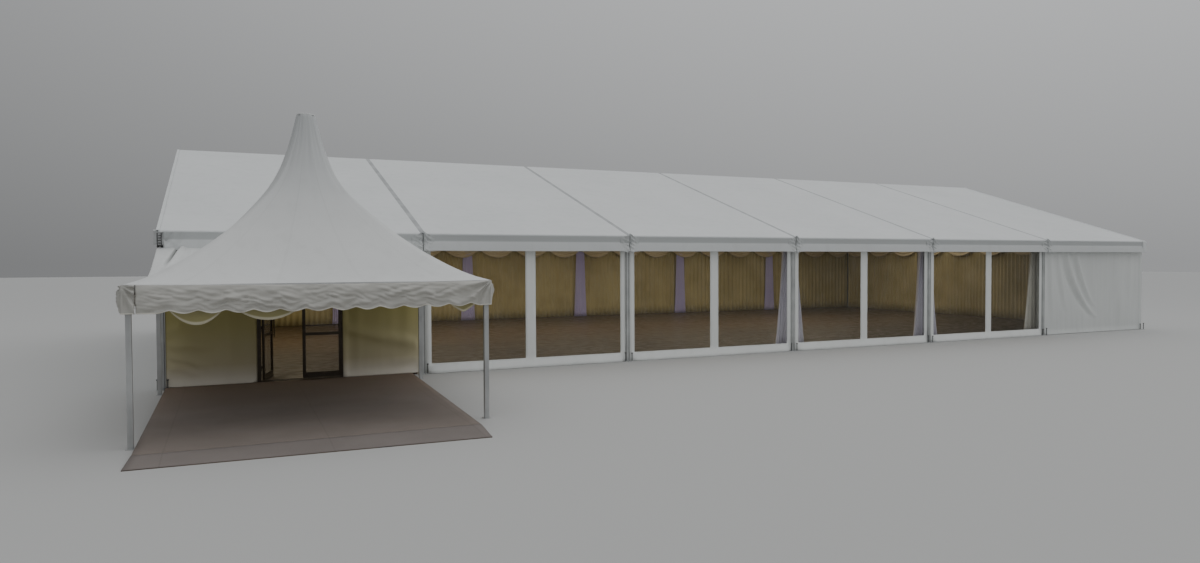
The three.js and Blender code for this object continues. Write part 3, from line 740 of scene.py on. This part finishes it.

# %% [markdown]
# ## The plain front walls
#
# The last bay and the walls beside the door are plain curtains, pegged at the foot, so long folds
# run down from where the cloth is pulled: bell-shaped ridges along curved lines. The walls by the
# door are cream, with painted light making them paler towards the foot below the canopy's shade,
# and slack enough for folds across as well. The right one laps over the door's jamb.

# %% Plain curtains with their folds
def curtain(name, x0, x1, foot, folds, finish, seed, stands_for, step=0.045, wrap=0, lap=0,
            slacks=()):
    """Each fold has its start and end share of the width, bend, width, height and where it fades.
    Each slack is a fold across: its start share and height, its end share and height, its width,
    its depth, and how it fades. wrap goes round the last leg, and lap over the door's jamb."""
    width = x1 - x0

    def place(across, along):
        x = x0 + across
        down = 1 - along / (WALL_TOP - foot)
        out = ripples(x, along, (0.006, 0.25, seed, 2.6), (0.004, 0.1, seed + 3, 7.0))
        out += 0.05 * max(0.0, 1 - along / 0.16) ** 1.5
        for a, b, bend, wide, height, end in folds:
            line = a + (b - a) * down ** bend
            off = (across - line * width) / wide
            shape = exp(-off ** 2) - 0.7 * exp(-(off + 1.6) ** 2)
            out += height * shape * arch(min(down / end, 1.0), 0.7)
        for a, low, b, high, wide, height, fading in slacks:
            run = (across / width - a) / (b - a)
            if 0 < run < 1:
                bent = 0.03 * wander(run * 2, low, seed + 5, 1.7)
                off = (along - low - (high - low) * run + bent) / wide
                out += height * exp(-off ** 2) * (1 - run) ** fading * min(1.0, run / 0.06)
        edge = inset(across, width, 0.12)
        hem = (0.008 * abs(wander(x, 0.0, seed + 7, 0.9)) - 0.008 * edge) * bell(along, 0.15)
        over_leg = wrap * clamp((x - x1 + 0.16) / 0.05)
        over_jamb = lap * clamp((0.12 - across) / 0.05)
        y = WALL_FACE - out * edge - 0.022 * over_leg - 0.03 * over_jamb
        return x, y, foot + along + hem

    hang(name, (width, step), ([0.0, 0.05, WALL_TOP - foot], step * 1.6), place, finish,
         stands_for)


CREAM_FOOT = 0.045
curtain("last_bay_curtain", LENGTH - BAY + WALL_GAP, LENGTH + 0.052, WALL_FOOT,
        [(0.22, 0.65, 2.2, 0.12, 0.08, 0.84), (0.305, 0.63, 1.7, 0.1, 0.064, 0.7),
         (0.13, 0.26, 1.4, 0.11, 0.03, 0.75), (0.05, 0.09, 1.0, 0.1, 0.026, 0.9),
         (0.46, 0.52, 1.0, 0.22, 0.018, 1.0), (0.72, 0.8, 1.2, 0.24, 0.022, 1.0),
         (0.88, 0.86, 1.0, 0.12, 0.014, 0.8)],
        wall_cloth, 21.0, ["front_wall_last_bay"], step=0.026, wrap=1)
curtain("curtain_left_of_door", WALL_GAP, 1.678, CREAM_FOOT,
        [(0.12, 0.22, 1.0, 0.14, 0.016, 1.0), (0.26, 0.25, 1.0, 0.05, 0.007, 0.6),
         (0.78, 0.7, 1.0, 0.16, 0.014, 1.0)],
        cream_cloth, 31.0, ["front_wall_left_of_door"], step=0.028,
        slacks=[(0.0, 0.82, 0.55, 0.76, 0.07, 0.06, 0.8), (0.0, 0.62, 0.5, 0.34, 0.07, 0.055, 0.8),
                (0.0, 1.12, 0.35, 1.16, 0.07, 0.032, 0.8), (0.0, 0.4, 0.4, 0.22, 0.07, 0.04, 0.8)])
curtain("curtain_right_of_door", 3.325, BAY - WALL_GAP, CREAM_FOOT,
        [(0.9, 0.82, 1.2, 0.14, 0.014, 0.9), (0.18, 0.2, 1.0, 0.1, 0.01, 1.0)],
        cream_cloth, 37.0, ["front_wall_right_of_door"], step=0.028, lap=1,
        slacks=[(0.0, 1.02, 1.0, 0.58, 0.11, 0.055, 0.2),
                (1.0, 0.66, 0.35, 0.98, 0.085, 0.022, 0.6),
                (1.0, 0.36, 0.6, 0.24, 0.085, 0.022, 0.8)])
curtain("curtain_over_door", 1.682, 3.378, 2.163, [(0.5, 0.45, 1.0, 0.2, 0.006, 1.0)],
        cream_cloth, 41.0, ["front_wall_over_door"])

# %% [markdown]
# ## The window walls
#
# A window wall is a white cloth with two big openings, and a clear film is welded in behind them.
# The cloth's grid has a line at each edge of the openings, so they come out clean when their faces
# are deleted.

# %% Four window walls
WINDOW_SIDE, WINDOW_MIDDLE, WINDOW_LOW, WINDOW_HIGH = 0.135, 0.25, 0.207, 2.717
WALL_TALL, FILM_TALL = WALL_TOP - WALL_FOOT, 2.68


def window_wall(bay):
    x0 = bay * BAY + WALL_GAP
    width = (bay + 1) * BAY - WALL_GAP - x0
    half_post, film_width = WINDOW_MIDDLE / 2, width - 0.04
    sides = [0.0, WINDOW_SIDE, width / 2 - half_post, width / 2 + half_post, width - WINDOW_SIDE,
             width]

    def gone(across, along):
        open_here = sides[1] < across < sides[2] or sides[3] < across < sides[4]
        return open_here and WINDOW_LOW < along < WINDOW_HIGH

    def border(across, along):
        x = x0 + across
        crease = 0.006 * wander(x * 0.4, along, 50.0 + bay, 11.0) * inset(across, width, 0.1)
        free = inset(across, width, 0.16)
        skirt = 0.115 + 0.012 * wander(x, along, 60.0 + bay, 3.0)
        skirt *= max(0.0, 1 - along / 0.19) * free
        foot = WALL_FOOT - 0.008 * free + 0.005 * abs(wander(x, 0.0, bay, 1.3))
        return x, WALL_FACE - crease - skirt, foot + along * (WALL_TOP - foot) / WALL_TALL

    def film(across, along):
        x = x0 + 0.02 + across
        edge = min(inset(across, film_width, 0.2), inset(along, FILM_TALL, 0.2))
        wave = ripples(x, along, (0.008, 1, 70.0 + bay, 0.9), (0.003, 0.3, 80.0 + bay, 3.0))
        return x, 0.034 + wave * max(edge, 0.0), 0.2 + along

    heights = [0.0, WINDOW_LOW, WINDOW_HIGH, WALL_TALL]
    hang(f"window_border_{bay + 1}", (sides, 0.07), (heights, 0.07), border, window_cloth,
         [f"window_wall_{bay + 1}"], gone=gone, strip=0.25)
    hang(f"window_film_{bay + 1}", (film_width, 0.12), (FILM_TALL, 0.12), film, clear_film,
         [f"clear_sheet_{bay + 1}"], 0.001)


for bay in range(1, BAYS - 1):
    window_wall(bay)

# %% [markdown]
# ## The gable walls and the rear wall
#
# The photo doesn't show these sides, so they follow the usual build. A gable has three curtains
# between its posts, each column of their grid squeezed to the roof's height above it. The rear wall
# has one curtain a bay.

# %% Gable curtains
GABLE_BAY, CURTAIN_GAP = SPAN / 3, 0.004


def gable_curtain(end, part):
    y0 = part * GABLE_BAY + (CURTAIN_GAP if part else 0.0)
    y1 = (part + 1) * GABLE_BAY - (CURTAIN_GAP if part < 2 else 0.0)
    face, width, tall = LEG_HALF + 0.006, y1 - y0, 5.4

    def place(across, along):
        y = y0 + across if end == "right" else y1 - across
        share = along / tall
        z = WALL_FOOT + (roof_height(y) - 0.006 - WALL_FOOT) * share
        z -= 0.008 * inset(across, width, 0.2) * (1 - share)
        out = ripples(y, z, (0.01, 0.3, 90.0 + part, 1.6), (0.006, 0.1, 95.0, 6.0))
        out = max(out, -0.004) * (inset(across, width, 0.1) * arch(share, 0.3))
        return (LENGTH + face + out if end == "right" else -face - out), y, z

    hang(f"gable_curtain_{end}_{part + 1}", (width, 0.12), (tall, 0.16), place, wall_cloth,
         [f"gable_wall_{end}"])


for end in ("left", "right"):
    for part in range(3):
        gable_curtain(end, part)


# %% Rear curtains
def rear_curtain(bay):
    x0 = bay * BAY - (-CURTAIN_GAP if bay else LEG_HALF)
    x1 = (bay + 1) * BAY + (-CURTAIN_GAP if bay < BAYS - 1 else LEG_HALF)
    width = x1 - x0

    def place(across, along):
        x = x1 - across
        out = ripples(x, along, (0.008, 0.3, 110.0, 1.8), (0.005, 0.1, 115.0, 6.0))
        foot = WALL_FOOT - 0.008 * inset(across, width, 0.2) * bell(along, 0.3)
        return x, SPAN + 0.008 + max(out, -0.004) * inset(across, width, 0.1), foot + along

    hang(f"rear_curtain_{bay + 1}", (width, 0.1), (2.775, 0.15), place, wall_cloth,
         ["rear_wall"])


for bay in range(BAYS):
    rear_curtain(bay)

# %% [markdown]
# ## The lining and its swags
#
# Gathered lining hides the walls inside. A pleat is a wave in plan, and its fullness makes the cut
# much wider than the wall. Over it hangs a row of swags, cut as crescents and held at both ends, so
# that a few curved folds form.

# %% Pleated lining
LINING_FACE, SWAG_FACE, SWAG_TOP, GABLE_FACE = 14.735, 14.65, 2.985, 0.115


def to_right(x, y, z):
    """Turn a place on the rear lining to the right gable's"""
    return LENGTH - GABLE_FACE + (y - LINING_FACE), SPAN - x, z


def to_left(x, y, z):
    return GABLE_FACE - (y - LINING_FACE), x, z


def pleats(name, x0, x1, top, pitch, depth, seed, stands_for=(), turn=as_drawn):
    """A gathered curtain along a line; turn sends a place on that line to the hall"""
    def place(across, along):
        x = x0 + across
        uneven = ripples(x, along, (0.35, 0.0, seed, 1.5), (0.1, 0.4, seed + 1, 1.5))
        wave = sin(2 * pi * (x + uneven * pitch) / pitch)
        deep = depth * (0.75 + 0.25 * wander(x, along * 0.2, seed + 2, 1.1))
        deep *= 0.8 + 0.2 * bell(along - top, 1.2)
        return turn(x, LINING_FACE + deep * wave, FLOOR_TOP + along)

    hang(name, (x1 - x0, pitch / 6), (top - FLOOR_TOP, 0.42), place, lining_cloth,
         stands_for, 0.0015)


for bay in range(BAYS):
    pleats(f"rear_lining_{bay + 1}", bay * BAY + 0.06, (bay + 1) * BAY - 0.06, 2.97, 0.21, 0.05,
           120.0 + bay, ["rear_lining"])


# %% Swags over the lining
def swag(name, x0, x1, seed, turn=as_drawn):
    width, tall = x1 - x0, 0.4

    def place(across, along):
        share, down = across / width, (tall - along) / tall
        hangs = 0.06 + 0.32 * (1 - (2 * share - 1) ** 2)
        fold = 0.024 * sin(down * 5.0 * pi) * arch(share, 0.5)
        belly = 0.07 * arch(share) * down
        z = SWAG_TOP - hangs * down + 0.01 * wander(share, down, seed, 2.0)
        return turn(x0 + across, SWAG_FACE - 0.03 - fold - belly, z)

    hang(name, (width, 0.09), (tall, 0.02), place, lit_swag_cloth,
         thick=0.0015)


for n in range(20):
    swag(f"rear_swag_{n + 1}", n * 1.5 + 0.03, n * 1.5 + 1.47, 200.0 + n)

# %% Gable linings
for part in range(3):
    y0, y1 = max(part * GABLE_BAY, 0.25), min((part + 1) * GABLE_BAY, 14.6)
    pleats(f"right_lining_{part + 1}", SPAN - y1, SPAN - y0, 2.94, 0.17, 0.04, 140.0 + part,
           turn=to_right)
    pleats(f"left_lining_{part + 1}", y0, y1, 2.94, 0.17, 0.04, 150.0 + part, turn=to_left)
for n in range(9):
    swag(f"right_swag_{n + 1}", 0.4 + n * 1.58, 0.4 + n * 1.58 + 1.55, 230.0 + n, to_right)

# %% [markdown]
# ## The drapes over the legs
#
# A length of voile hides each inner leg. It is pinned at the top and spreads to the floor, so its
# pleats open like a fan.

# %% Voile drapes
VOILE_WIDE = 2.4


def drape(name, x, y, facing, top_half, foot_half, tall, seed, finish, stands_for=(), depth=0.05):
    """facing is 1 for a rear leg, whose drape looks forward, and -1 for a front leg"""
    def place(across, along):
        share = across / VOILE_WIDE
        side = 2 * share - 1
        half = foot_half + (top_half - foot_half) * (along / tall) ** 0.8
        uneven = 0.3 * wander(share * 3, along * 0.5, seed, 1.0)
        wave = sin(2 * pi * (7.5 * share + uneven))
        out = 0.012 + depth * (1.0 - side ** 4) + 0.022 * wave * (0.5 + 0.5 * bell(along, 2.2))
        forward = 0.1 * side ** 4 if facing < 0 else 0.0
        return x + side * half * facing, y - out * facing - forward, FLOOR_TOP + along

    hang(name, (VOILE_WIDE, 0.05), (tall, 0.18), place, finish,
         stands_for, 0.0012)


for n in range(1, BAYS):
    drape(f"rear_drape_{n + 1}", n * BAY, 14.66, 1, 0.19, 0.3, 2.86 - FLOOR_TOP, 160.0 + n,
          lilac_lit_voile)
for n, top_half, foot_half, finish, stands_for in (
        (3, 0.2, 0.5, voile, ["drape_3"]), (4, 0.2, 0.5, voile, ["drape_4"]),
        (5, 0.4, 0.75, cream_voile, ())):
    drape(f"front_drape_{n + 1}", n * BAY, 0.215, -1, top_half, foot_half, 2.85 - FLOOR_TOP,
          167.0 + n, finish, stands_for, 0.1)

# %% [markdown]
# ## The porch canopy
#
# The canopy is one stretched membrane: a tall round neck on the mast head, then a long hollow curve
# that turns square on its way to the eave. It is tight along the hips and falls in a little between
# them, and small puckers run down from the neck. The grid goes once round the porch, and its line
# down the middle of a side is the same as the solid's.

# %% The line of the canopy
PORCH = Vector((2.4, -3.05, 0.0))
PORCH_HALF, PORCH_EAVE, PORCH_PEAK = 2.47, 2.16, 4.93
canopy_points = [
    (0.135, PORCH_PEAK), (0.215, 4.58), (0.3, 4.29), (0.425, 3.97), (0.62, 3.64), (0.9, 3.31),
    (1.25, 2.955), (1.6, 2.65), (1.95, 2.4), (2.23, 2.245), (PORCH_HALF, PORCH_EAVE),
]


def smooth_line(points, steps):
    """Even steps on a smooth curve through the points"""
    made = []
    for i in range(steps + 1):
        t = i * (len(points) - 1) / steps
        k = min(int(t), len(points) - 2)
        p = [Vector(points[min(max(j, 0), len(points) - 1)]) for j in (k - 1, k, k + 1, k + 2)]
        w = t - k
        made.append(0.5 * (2 * p[1] + (p[2] - p[0]) * w
                           + (2 * p[0] - 5 * p[1] + 4 * p[2] - p[3]) * w ** 2
                           + (3 * p[1] - p[0] - 3 * p[2] + p[3]) * w ** 3))
    return made


canopy_line = smooth_line(canopy_points, 60)
canopy_reach = [path_length(canopy_line[:i + 1]) for i in range(len(canopy_line))]
CANOPY_DEPTH = canopy_reach[-1]
print(f"the canopy is {CANOPY_DEPTH:.2f} m from peak to eave")

# %% [markdown]
# The gores' seams get a finish of their own, because they fan out. The sheet's flat place holds how
# far round the porch a point is, counted in sides, so four seams fall at fixed shares of each side.
# The neck is painted greyer as shade, because it is steep and gets less light.

# %% Seams on the canopy
membrane = look = coated_cloth("canopy_membrane", "roof_cloth", WHITE, WHITE_DIRT)
gore_seam = look.lines(look.axis(look.flat(), "X"), 0.25, 0.008, 0.125)
from_peak = look.axis(look.flat(), "Y")
# Painted shade: greyer towards the steep neck
look.paint(look.spread(from_peak, 0.2, 2.4, 0.66, 0.0), (0.5, 0.52, 0.53))
look.paint(gore_seam, (0.5, 0.51, 0.5), look.spread(from_peak, 0.3, 2.2, 0.32, 0.08))
look.bump(gore_seam, 0.3, 0.0015)
print("sixteen seams fan out from the neck")


# %% The canopy membrane
def canopy_place(across, along):
    """across counts the porch's sides from its front left hip, along is metres from the peak"""
    half, z = canopy_line[min(range(len(canopy_reach)), key=lambda k: abs(canopy_reach[k] - along))]
    side, share = (int(across), 2 * (across - int(across)) - 1) if across < 4 else (0, -1.0)
    down = along / CANOPY_DEPTH
    half *= 1 + 0.07 * (1 - down) ** 1.8
    fall_in = (0.03 * arch(down, 0.8) + 0.01 * down) * (1 - share ** 2)
    round_hip = 1 + 0.9 * (1 - down) ** 1.8 * (1 / hypot(1.0, share) - 1)
    ray = sin(across * 2 * pi * 7 + 1.5 * wander(across, along, 6.0, 1.7))
    pucker = 0.007 * ray * bell(down - 0.14, 0.13)
    pucker += 0.022 * wander(across * 3.0, along * 0.35, 7.0, 2.2) * bell(down - 0.25, 0.3)
    out = (half - fall_in * half / PORCH_HALF * 1.6) * round_hip + pucker * (1 - abs(share) ** 8)
    z -= 0.022 * (1 - share ** 2) * down ** 6
    corner = Vector((share * half * round_hip, -out, 0.0))
    return PORCH + Matrix.Rotation(side * pi / 2, 3, "Z") @ corner + Vector((0.0, 0.0, z))


bm = cloth_mesh(marks([0.0, 1.0, 2.0, 3.0, 4.0], 1 / 22), canopy_reach[::-1], canopy_place)
bmesh.ops.remove_doubles(bm, verts=bm.verts, dist=0.0005)
bmesh.ops.recalc_face_normals(bm, faces=bm.faces)
canopy_area = sum(face.calc_area() for face in bm.faces)
canopy = settle(bm, "canopy_cloth_top", membrane, stands_for=["porch_canopy"])
thicken(canopy, 0.003, -1.0)
print(f"canopy: {canopy_area:.1f} square metres of cloth")

# %% [markdown]
# ## The scalloped valance
#
# Each side of the valance starts a hand's width after its first corner and wraps round the next
# one, which leaves the dark slit near the left corner. Its foot is scalloped and bound. It is
# slack, so creases cross it both ways, and slanting folds form at the corners.

# %% Four valance pieces
SCALLOP, SCALLOP_DEEP, VALANCE_DROP, CORNER_RETURN = 0.34, 0.042, 0.38, 0.145
valance_half = PORCH_HALF + 0.005
slit = CORNER_RETURN + 0.012
side_run = 2 * valance_half - CORNER_RETURN - 0.012


def valance_outline(run):
    """A point on the square outline, and how the cloth faces there"""
    if run <= side_run:
        return Vector((-valance_half + slit + run, -valance_half, 0.0)), Vector((0, -1, 0))
    return Vector((valance_half, -valance_half + (run - side_run), 0.0)), Vector((1, 0, 0))


def valance_piece(number, side):
    turn = Matrix.Rotation(number * pi / 2, 3, "Z")
    seed = 300.0 + number

    def place(across, along):
        spot, facing = valance_outline(across)
        down, below = 1 - along / VALANCE_DROP, VALANCE_DROP - along
        from_end = min(across, side_run - across) if across < side_run else 0.0
        scallops = clamp((from_end - 0.13) / 0.12)
        scallop = SCALLOP_DEEP * abs(sin(pi * (across - 0.05) / SCALLOP)) ** 1.3
        foot = VALANCE_DROP - scallops * (SCALLOP_DEEP - scallop)
        sag = 0.022 * (1 - (2 * min(across / side_run, 1.0) - 1) ** 2)
        rising = wander(0.5 * across + along, 4.6 * along - 1.3 * across, seed, 2.0)
        falling = wander(0.8 * across - along, 4.6 * along + 1.1 * across, seed + 1, 3.4)
        crumple = 1.8 * abs(rising) + 0.9 * abs(falling)
        crumple += 0.35 * wander(across, along * 2.0, seed + 2, 1.1)
        beside = abs(side_run - across)
        angle = atan2(below, beside + 0.02)
        fan = sin(13.0 * angle + 1.5 * wander(across, along, seed + 3, 3.0))
        from_corner = hypot(beside, below)
        fan *= bell(from_corner, 0.55) * min(1.0, from_corner / 0.12)
        calm = 1 - 0.9 * bell(beside, 0.28) - 0.6 * bell(across, 0.1)
        out = 0.006 + 0.058 * arch(down * 0.85, 0.7) * crumple * calm
        out += 0.055 * fan * min(1.0, beside / 0.05)
        out += 0.01 * down * sin(2 * pi * across / SCALLOP) * scallops
        spot = turn @ (spot + facing * max(out + 0.012 * arch(down), 0.0025))
        return PORCH + spot + Vector((0, 0, PORCH_EAVE - 0.004 - sag - foot * down))

    across = ([0.0, side_run - 0.02, side_run, side_run + 0.02, side_run + CORNER_RETURN],
              (0.018, 0.01, 0.01, 0.02))
    hang(f"valance_{side}", across, ([0.0, 0.018, VALANCE_DROP], 0.0145), place, valance_cloth,
         ["porch_valance"], 0.002)


for number, side in enumerate(("front", "right", "rear", "left")):
    valance_piece(number, side)


# %% Loops of slack cloth behind the front valance
def eave_loop(number, x0, x1, foot, shape):
    """A slack edge that hangs between two ties; shape 1 is round, below 1 pointed"""
    width, tall, foot_at_ties, head = x1 - x0, 0.3, 1.84, 2.02

    def place(across, along):
        sag = (1.0 - abs(2 * (across / width) - 1) ** (2 * shape)) * (foot_at_ties - foot)
        z = foot_at_ties - sag + along * (head - foot_at_ties + sag) / tall
        out = 0.02 * arch(along / tall) + 0.012 * wander(across, along, 720.0 + number, 5.0)
        return x0 + across, PORCH.y - PORCH_HALF + 0.115 - out, z

    hang(f"eave_loop_{number}", (width, 0.03), ([0.0, 0.016, tall], 0.03), place, loop_cloth,
         thick=0.002)


eave_loop(1, 0.43, 1.14, 1.6, 1.0)
eave_loop(2, 1.22, 2.15, 1.64, 1.0)
eave_loop(3, 4.2, 4.73, 1.67, 0.6)

# %% [markdown]
# ## The cap and the weather flap
#
# A flat cap keeps rain out of the mast head. Behind the canopy a loose flap is laced to the hall's
# fascia and laid on the canopy's rear edge. It hangs in a soft trough, and a tuck runs down near
# its left edge: a crease in the shape, and shade in the finish.

# %% The cap
CAP_RADIUS, CAP_THICK = 0.147, 0.028
bm = bmesh.new()
bmesh.ops.create_cone(bm, cap_ends=True, segments=40, radius1=CAP_RADIUS, radius2=CAP_RADIUS,
                      depth=CAP_THICK)
rims = [e for e in bm.edges if abs(e.verts[0].co.z - e.verts[1].co.z) < 1e-6]
bmesh.ops.bevel(bm, geom=rims, offset=0.009, offset_type="OFFSET", affect="EDGES", segments=3,
                profile=0.5, material=-1)
bmesh.ops.translate(bm, verts=bm.verts, vec=PORCH + Vector((0.0, 0.0, PORCH_PEAK + 0.005)))
settle(bm, "peak_cap_top", canopy_cloth, stands_for=["porch_cap"])
print(f"the cap is {2 * CAP_RADIUS:.2f} m across")

# %% The flap's finish
flap_cloth = look = coated_cloth("flap_cloth", "roof_cloth", WHITE, WHITE_DIRT)
up = look.axis(look.flat(), "Y")
line = look.maths("MULTIPLY_ADD", up, 0.484, 0.045)
away = look.maths("ABSOLUTE", look.maths("SUBTRACT", look.axis(look.flat(), "X"), line))
look.paint(look.spread(away, 0.012, 0.045, 0.75, 0.0), (0.2, 0.21, 0.2),
           look.spread(up, 0.25, 0.55))
print("the tuck is shaded near the flap's left edge")


# %% The weather flap
def canopy_height(x, y):
    """Height of the canopy's outside over a place on the hall's grid"""
    half = max(abs(x - PORCH.x), abs(y - PORCH.y))
    a, b = next((a, b) for a, b in zip(canopy_line, canopy_line[1:])
                if b.x >= half or b == canopy_line[-1])
    return b.y + (a.y - b.y) * clamp((b.x - half) / (b.x - a.x))


FLAP_WIDE, FLAP_TALL = 2 * PORCH_HALF - 0.04, 0.62


def flap_place(across, along):
    x = PORCH.x - PORCH_HALF + 0.02 + across
    share = along / FLAP_TALL
    wing = max(0.0, 1 - across / 0.85)
    y0 = PORCH.y + PORCH_HALF - 0.09 - 1.68 * wing
    z0 = canopy_height(x, y0) + 0.012
    y1, z1 = -0.135, FASCIA_FOOT + 0.05
    trough = 0.05 * arch(share) * (1 + 0.4 * wander(x, share, 400.0, 1.2))
    beside = across - 0.06 - 0.3 * share
    crease = 0.06 * bell(beside - 0.07, 0.05) - 0.11 * bell(beside, 0.035)
    fold = 0.01 * wander(x * 2.0, share, 410.0, 2.4) * arch(share)
    z = z0 + (z1 - z0) * share - trough + crease * bell(share - 0.8, 0.3) + fold
    return x, y0 + (y1 - y0) * share, z


hang("weather_flap_cloth", ([0.0, 0.86, FLAP_WIDE], (0.018, 0.05)), (FLAP_TALL, 0.03), flap_place,
     flap_cloth, ["weather_flap"])

# %% [markdown]
# ## The felt on the porch floor
#
# The deck is made of boards, with grey-brown felt over it, painted darker towards the hall as
# shade, and lighter felt on the ramp in front, each a thin sheet with slight waves.

# %% Felt on the deck and on the ramp
deck_low, deck_high = (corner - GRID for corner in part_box("porch_floor"))
DECK_FRONT_RIGHT = 4.54
RAMP_LEFT, RAMP_RIGHT = Vector((0.01, -6.724, 0.0)), Vector((4.477, -6.86, 0.0))


def felt_place(across, along):
    """across is the share of the deck's width, along is metres from its front edge"""
    y = deck_low.y + 0.003 + along
    widening = (deck_high.x - DECK_FRONT_RIGHT) * along / (deck_high.y - deck_low.y)
    x = deck_low.x + 0.004 + (DECK_FRONT_RIGHT + widening - deck_low.x - 0.008) * across
    return x, y, 0.0435 + 0.0012 * wander(x, y, 500.0, 2.0)


def ramp_place(across, along):
    """Both across and along are shares here, along from the foot of the ramp to its top"""
    head_x = deck_low.x + (DECK_FRONT_RIGHT - deck_low.x) * across
    head = Vector((head_x, deck_low.y - 0.001, 0.0))
    spot = RAMP_LEFT.lerp(RAMP_RIGHT, across).lerp(head, 0.006 + 0.994 * along)
    return spot.x, spot.y, 0.0095 + 0.034 * along + 0.0012 * wander(spot.x, spot.y, 510.0, 2.0)


shares = (1.0, 0.025)
hang("porch_felt", shares, (-0.104 - deck_low.y, 0.12), felt_place, porch_felt,
     thick=0.005)
hang("ramp_felt", shares, (1.0, 0.1), ramp_place, ramp_felt,
     thick=0.005)

# %% [markdown]
# ## The stakes at the legs
#
# Two long steel stakes go through each foot plate. A stake is a thin cylinder with a mushroom head.

# %% Stakes at the front and rear legs
def stakes(name, y):
    bm = bmesh.new()
    for n in range(BAYS + 1):
        for beside in (-0.088, 0.088):
            height = 0.19 + 0.03 * wander(n, beside * 10, 600.0, 3.1)
            for radius, foot, tall in ((0.011, 0.012, height), (0.022, height, 0.022)):
                made = bmesh.ops.create_cone(bm, cap_ends=True, segments=10, radius1=radius,
                                             radius2=radius, depth=tall)
                bmesh.ops.translate(bm, verts=made["verts"],
                                    vec=(n * BAY + beside, y, foot + tall / 2))
    settle(bm, name, stake_steel, smooth=False)


stakes("front_stakes", -0.06)
stakes("rear_stakes", SPAN + 0.06)
print("stakes beside fourteen legs")

# %% [markdown]
# ## The door furniture
#
# A long pull handle stands on the outside of each glazed leaf. It is placed on the shut leaf and
# turned with it, so it follows when the door swings.

# %% Pull handles
HINGES = {joint["child"]: joint["pos_m"] for joint in frame["joints"]}
HANDLE_BAR = ((-0.012, -0.045, 0.0), (0.012, -0.025, 0.42))
HANDLE_FEET = [((-0.008, -0.03, z), (0.008, 0.0, z + 0.02)) for z in (0.05, 0.35)]


def pull_handle(name, body, side, opened):
    bm = bmesh.new()
    for low, high in (HANDLE_BAR, *HANDLE_FEET):
        soft_block(bm, low, high, 0.003)
    bmesh.ops.translate(bm, verts=bm.verts, vec=(0.735 * side, -0.052, 0.86))
    bmesh.ops.rotate(bm, verts=bm.verts, cent=(0, 0, 0),
                     matrix=Matrix.Rotation(radians(opened), 3, "Z"))
    bmesh.ops.translate(bm, verts=bm.verts, vec=Vector(HINGES[body]) - GRID)
    settle(bm, name, bronze_paint, body, smooth=False)


pull_handle("pull_handle_left", "left_door", 1, 75)
pull_handle("pull_handle_right", "right_door", -1, 0)
print("pull handles on both leaves")

# %% [markdown]
# ## Finishes for the solids that stay
#
# Frame, rails, posts, mast, doors and floors keep their solid shapes. Each gets its finish by the
# start of its name.

# %% Give the solids their finishes
FINISH_OF = {
    frame_alloy: ("portal_frame",),
    rail_alloy: ("gable_post", "ridge_purlin", "eave_rail", "porch_eave_ring", "porch_post",
                 "porch_mast"),
    dark_boards: ("hall_floor",),
    deck_boards: ("porch_floor", "porch_ramp"),
    bronze_paint: ("door_frame", "door_leaf"),
    door_pane: ("door_glass",),
}
for name, solid in frame["nodes"].items():
    for finish, starts in FINISH_OF.items():
        if name.startswith(starts):
            solid.data.materials.clear()
            solid.data.materials.append(finish.material)
shown = [name for name, solid in frame["nodes"].items() if not solid.hide_render]
print(len(shown), "solids show:", ", ".join(sorted(shown)))

# %% [markdown]
# ## The floor and the light
#
# A plain pale floor and an even, cloudy light show the shapes without hard shadows. A wide light
# above brightens the roof, and a weak warm light in each bay stands for what the white roof lets
# through.

# %% The floor
FLOOR_REACH = 150.0
floor_bm = bmesh.new()
bmesh.ops.create_grid(floor_bm, x_segments=1, y_segments=1, size=FLOOR_REACH)
floor_mesh = bpy.data.meshes.new("studio_floor")
floor_bm.to_mesh(floor_mesh)
floor_bm.free()
pale = Finish("studio_pale", None, 0.9, Base_Color=(0.56, 0.56, 0.55, 1.0))
floor_mesh.materials.append(pale.material)
put("studio_floor", floor_mesh)
print("the floor is", 2 * FLOOR_REACH, "m wide")

# %% The light
world = bpy.data.worlds.new("cloudy_sky")
bpy.context.scene.world = world
world.use_nodes = True
sky = world.node_tree
height = add_node(sky, "SeparateXYZ", {0: add_node(sky, "TexCoord", output="Generated")}, "Z")
sideways = add_node(sky, "Math", {0: height.node.outputs["X"], 1: 0.5, 2: 1.0},
                    operation="MULTIPLY_ADD")
brightness = add_node(sky, "MapRange", {"Value": height, "To Min": 0.24, "To Max": 0.84})
strength = add_node(sky, "Math", {0: sideways, 1: brightness}, operation="MULTIPLY")
background = sky.nodes["Background"].inputs
background["Color"].default_value = (0.97, 0.985, 1.0, 1.0)
sky.links.new(strength, background["Strength"])


def soft_light(name, place, size, power, colour):
    light = bpy.data.lights.new(name, "AREA")
    light.shape, light.size, light.size_y = "RECTANGLE", size[0], size[1]
    light.energy, light.color = power, colour
    put(name, light).location = place


soft_light("overhead", (0.0, -6.0, 28.0), (50.0, 40.0), 900.0, (1.0, 0.99, 0.97))
for bay in range(BAYS):
    soft_light(f"inside_{bay + 1}", GRID + Vector((bay * BAY + 2.5, 8.4, 3.95)), (4.0, 5.2),
               30.0 if bay == BAYS - 1 else 84.0, (1.0, 0.88, 0.63))
print("light is set")
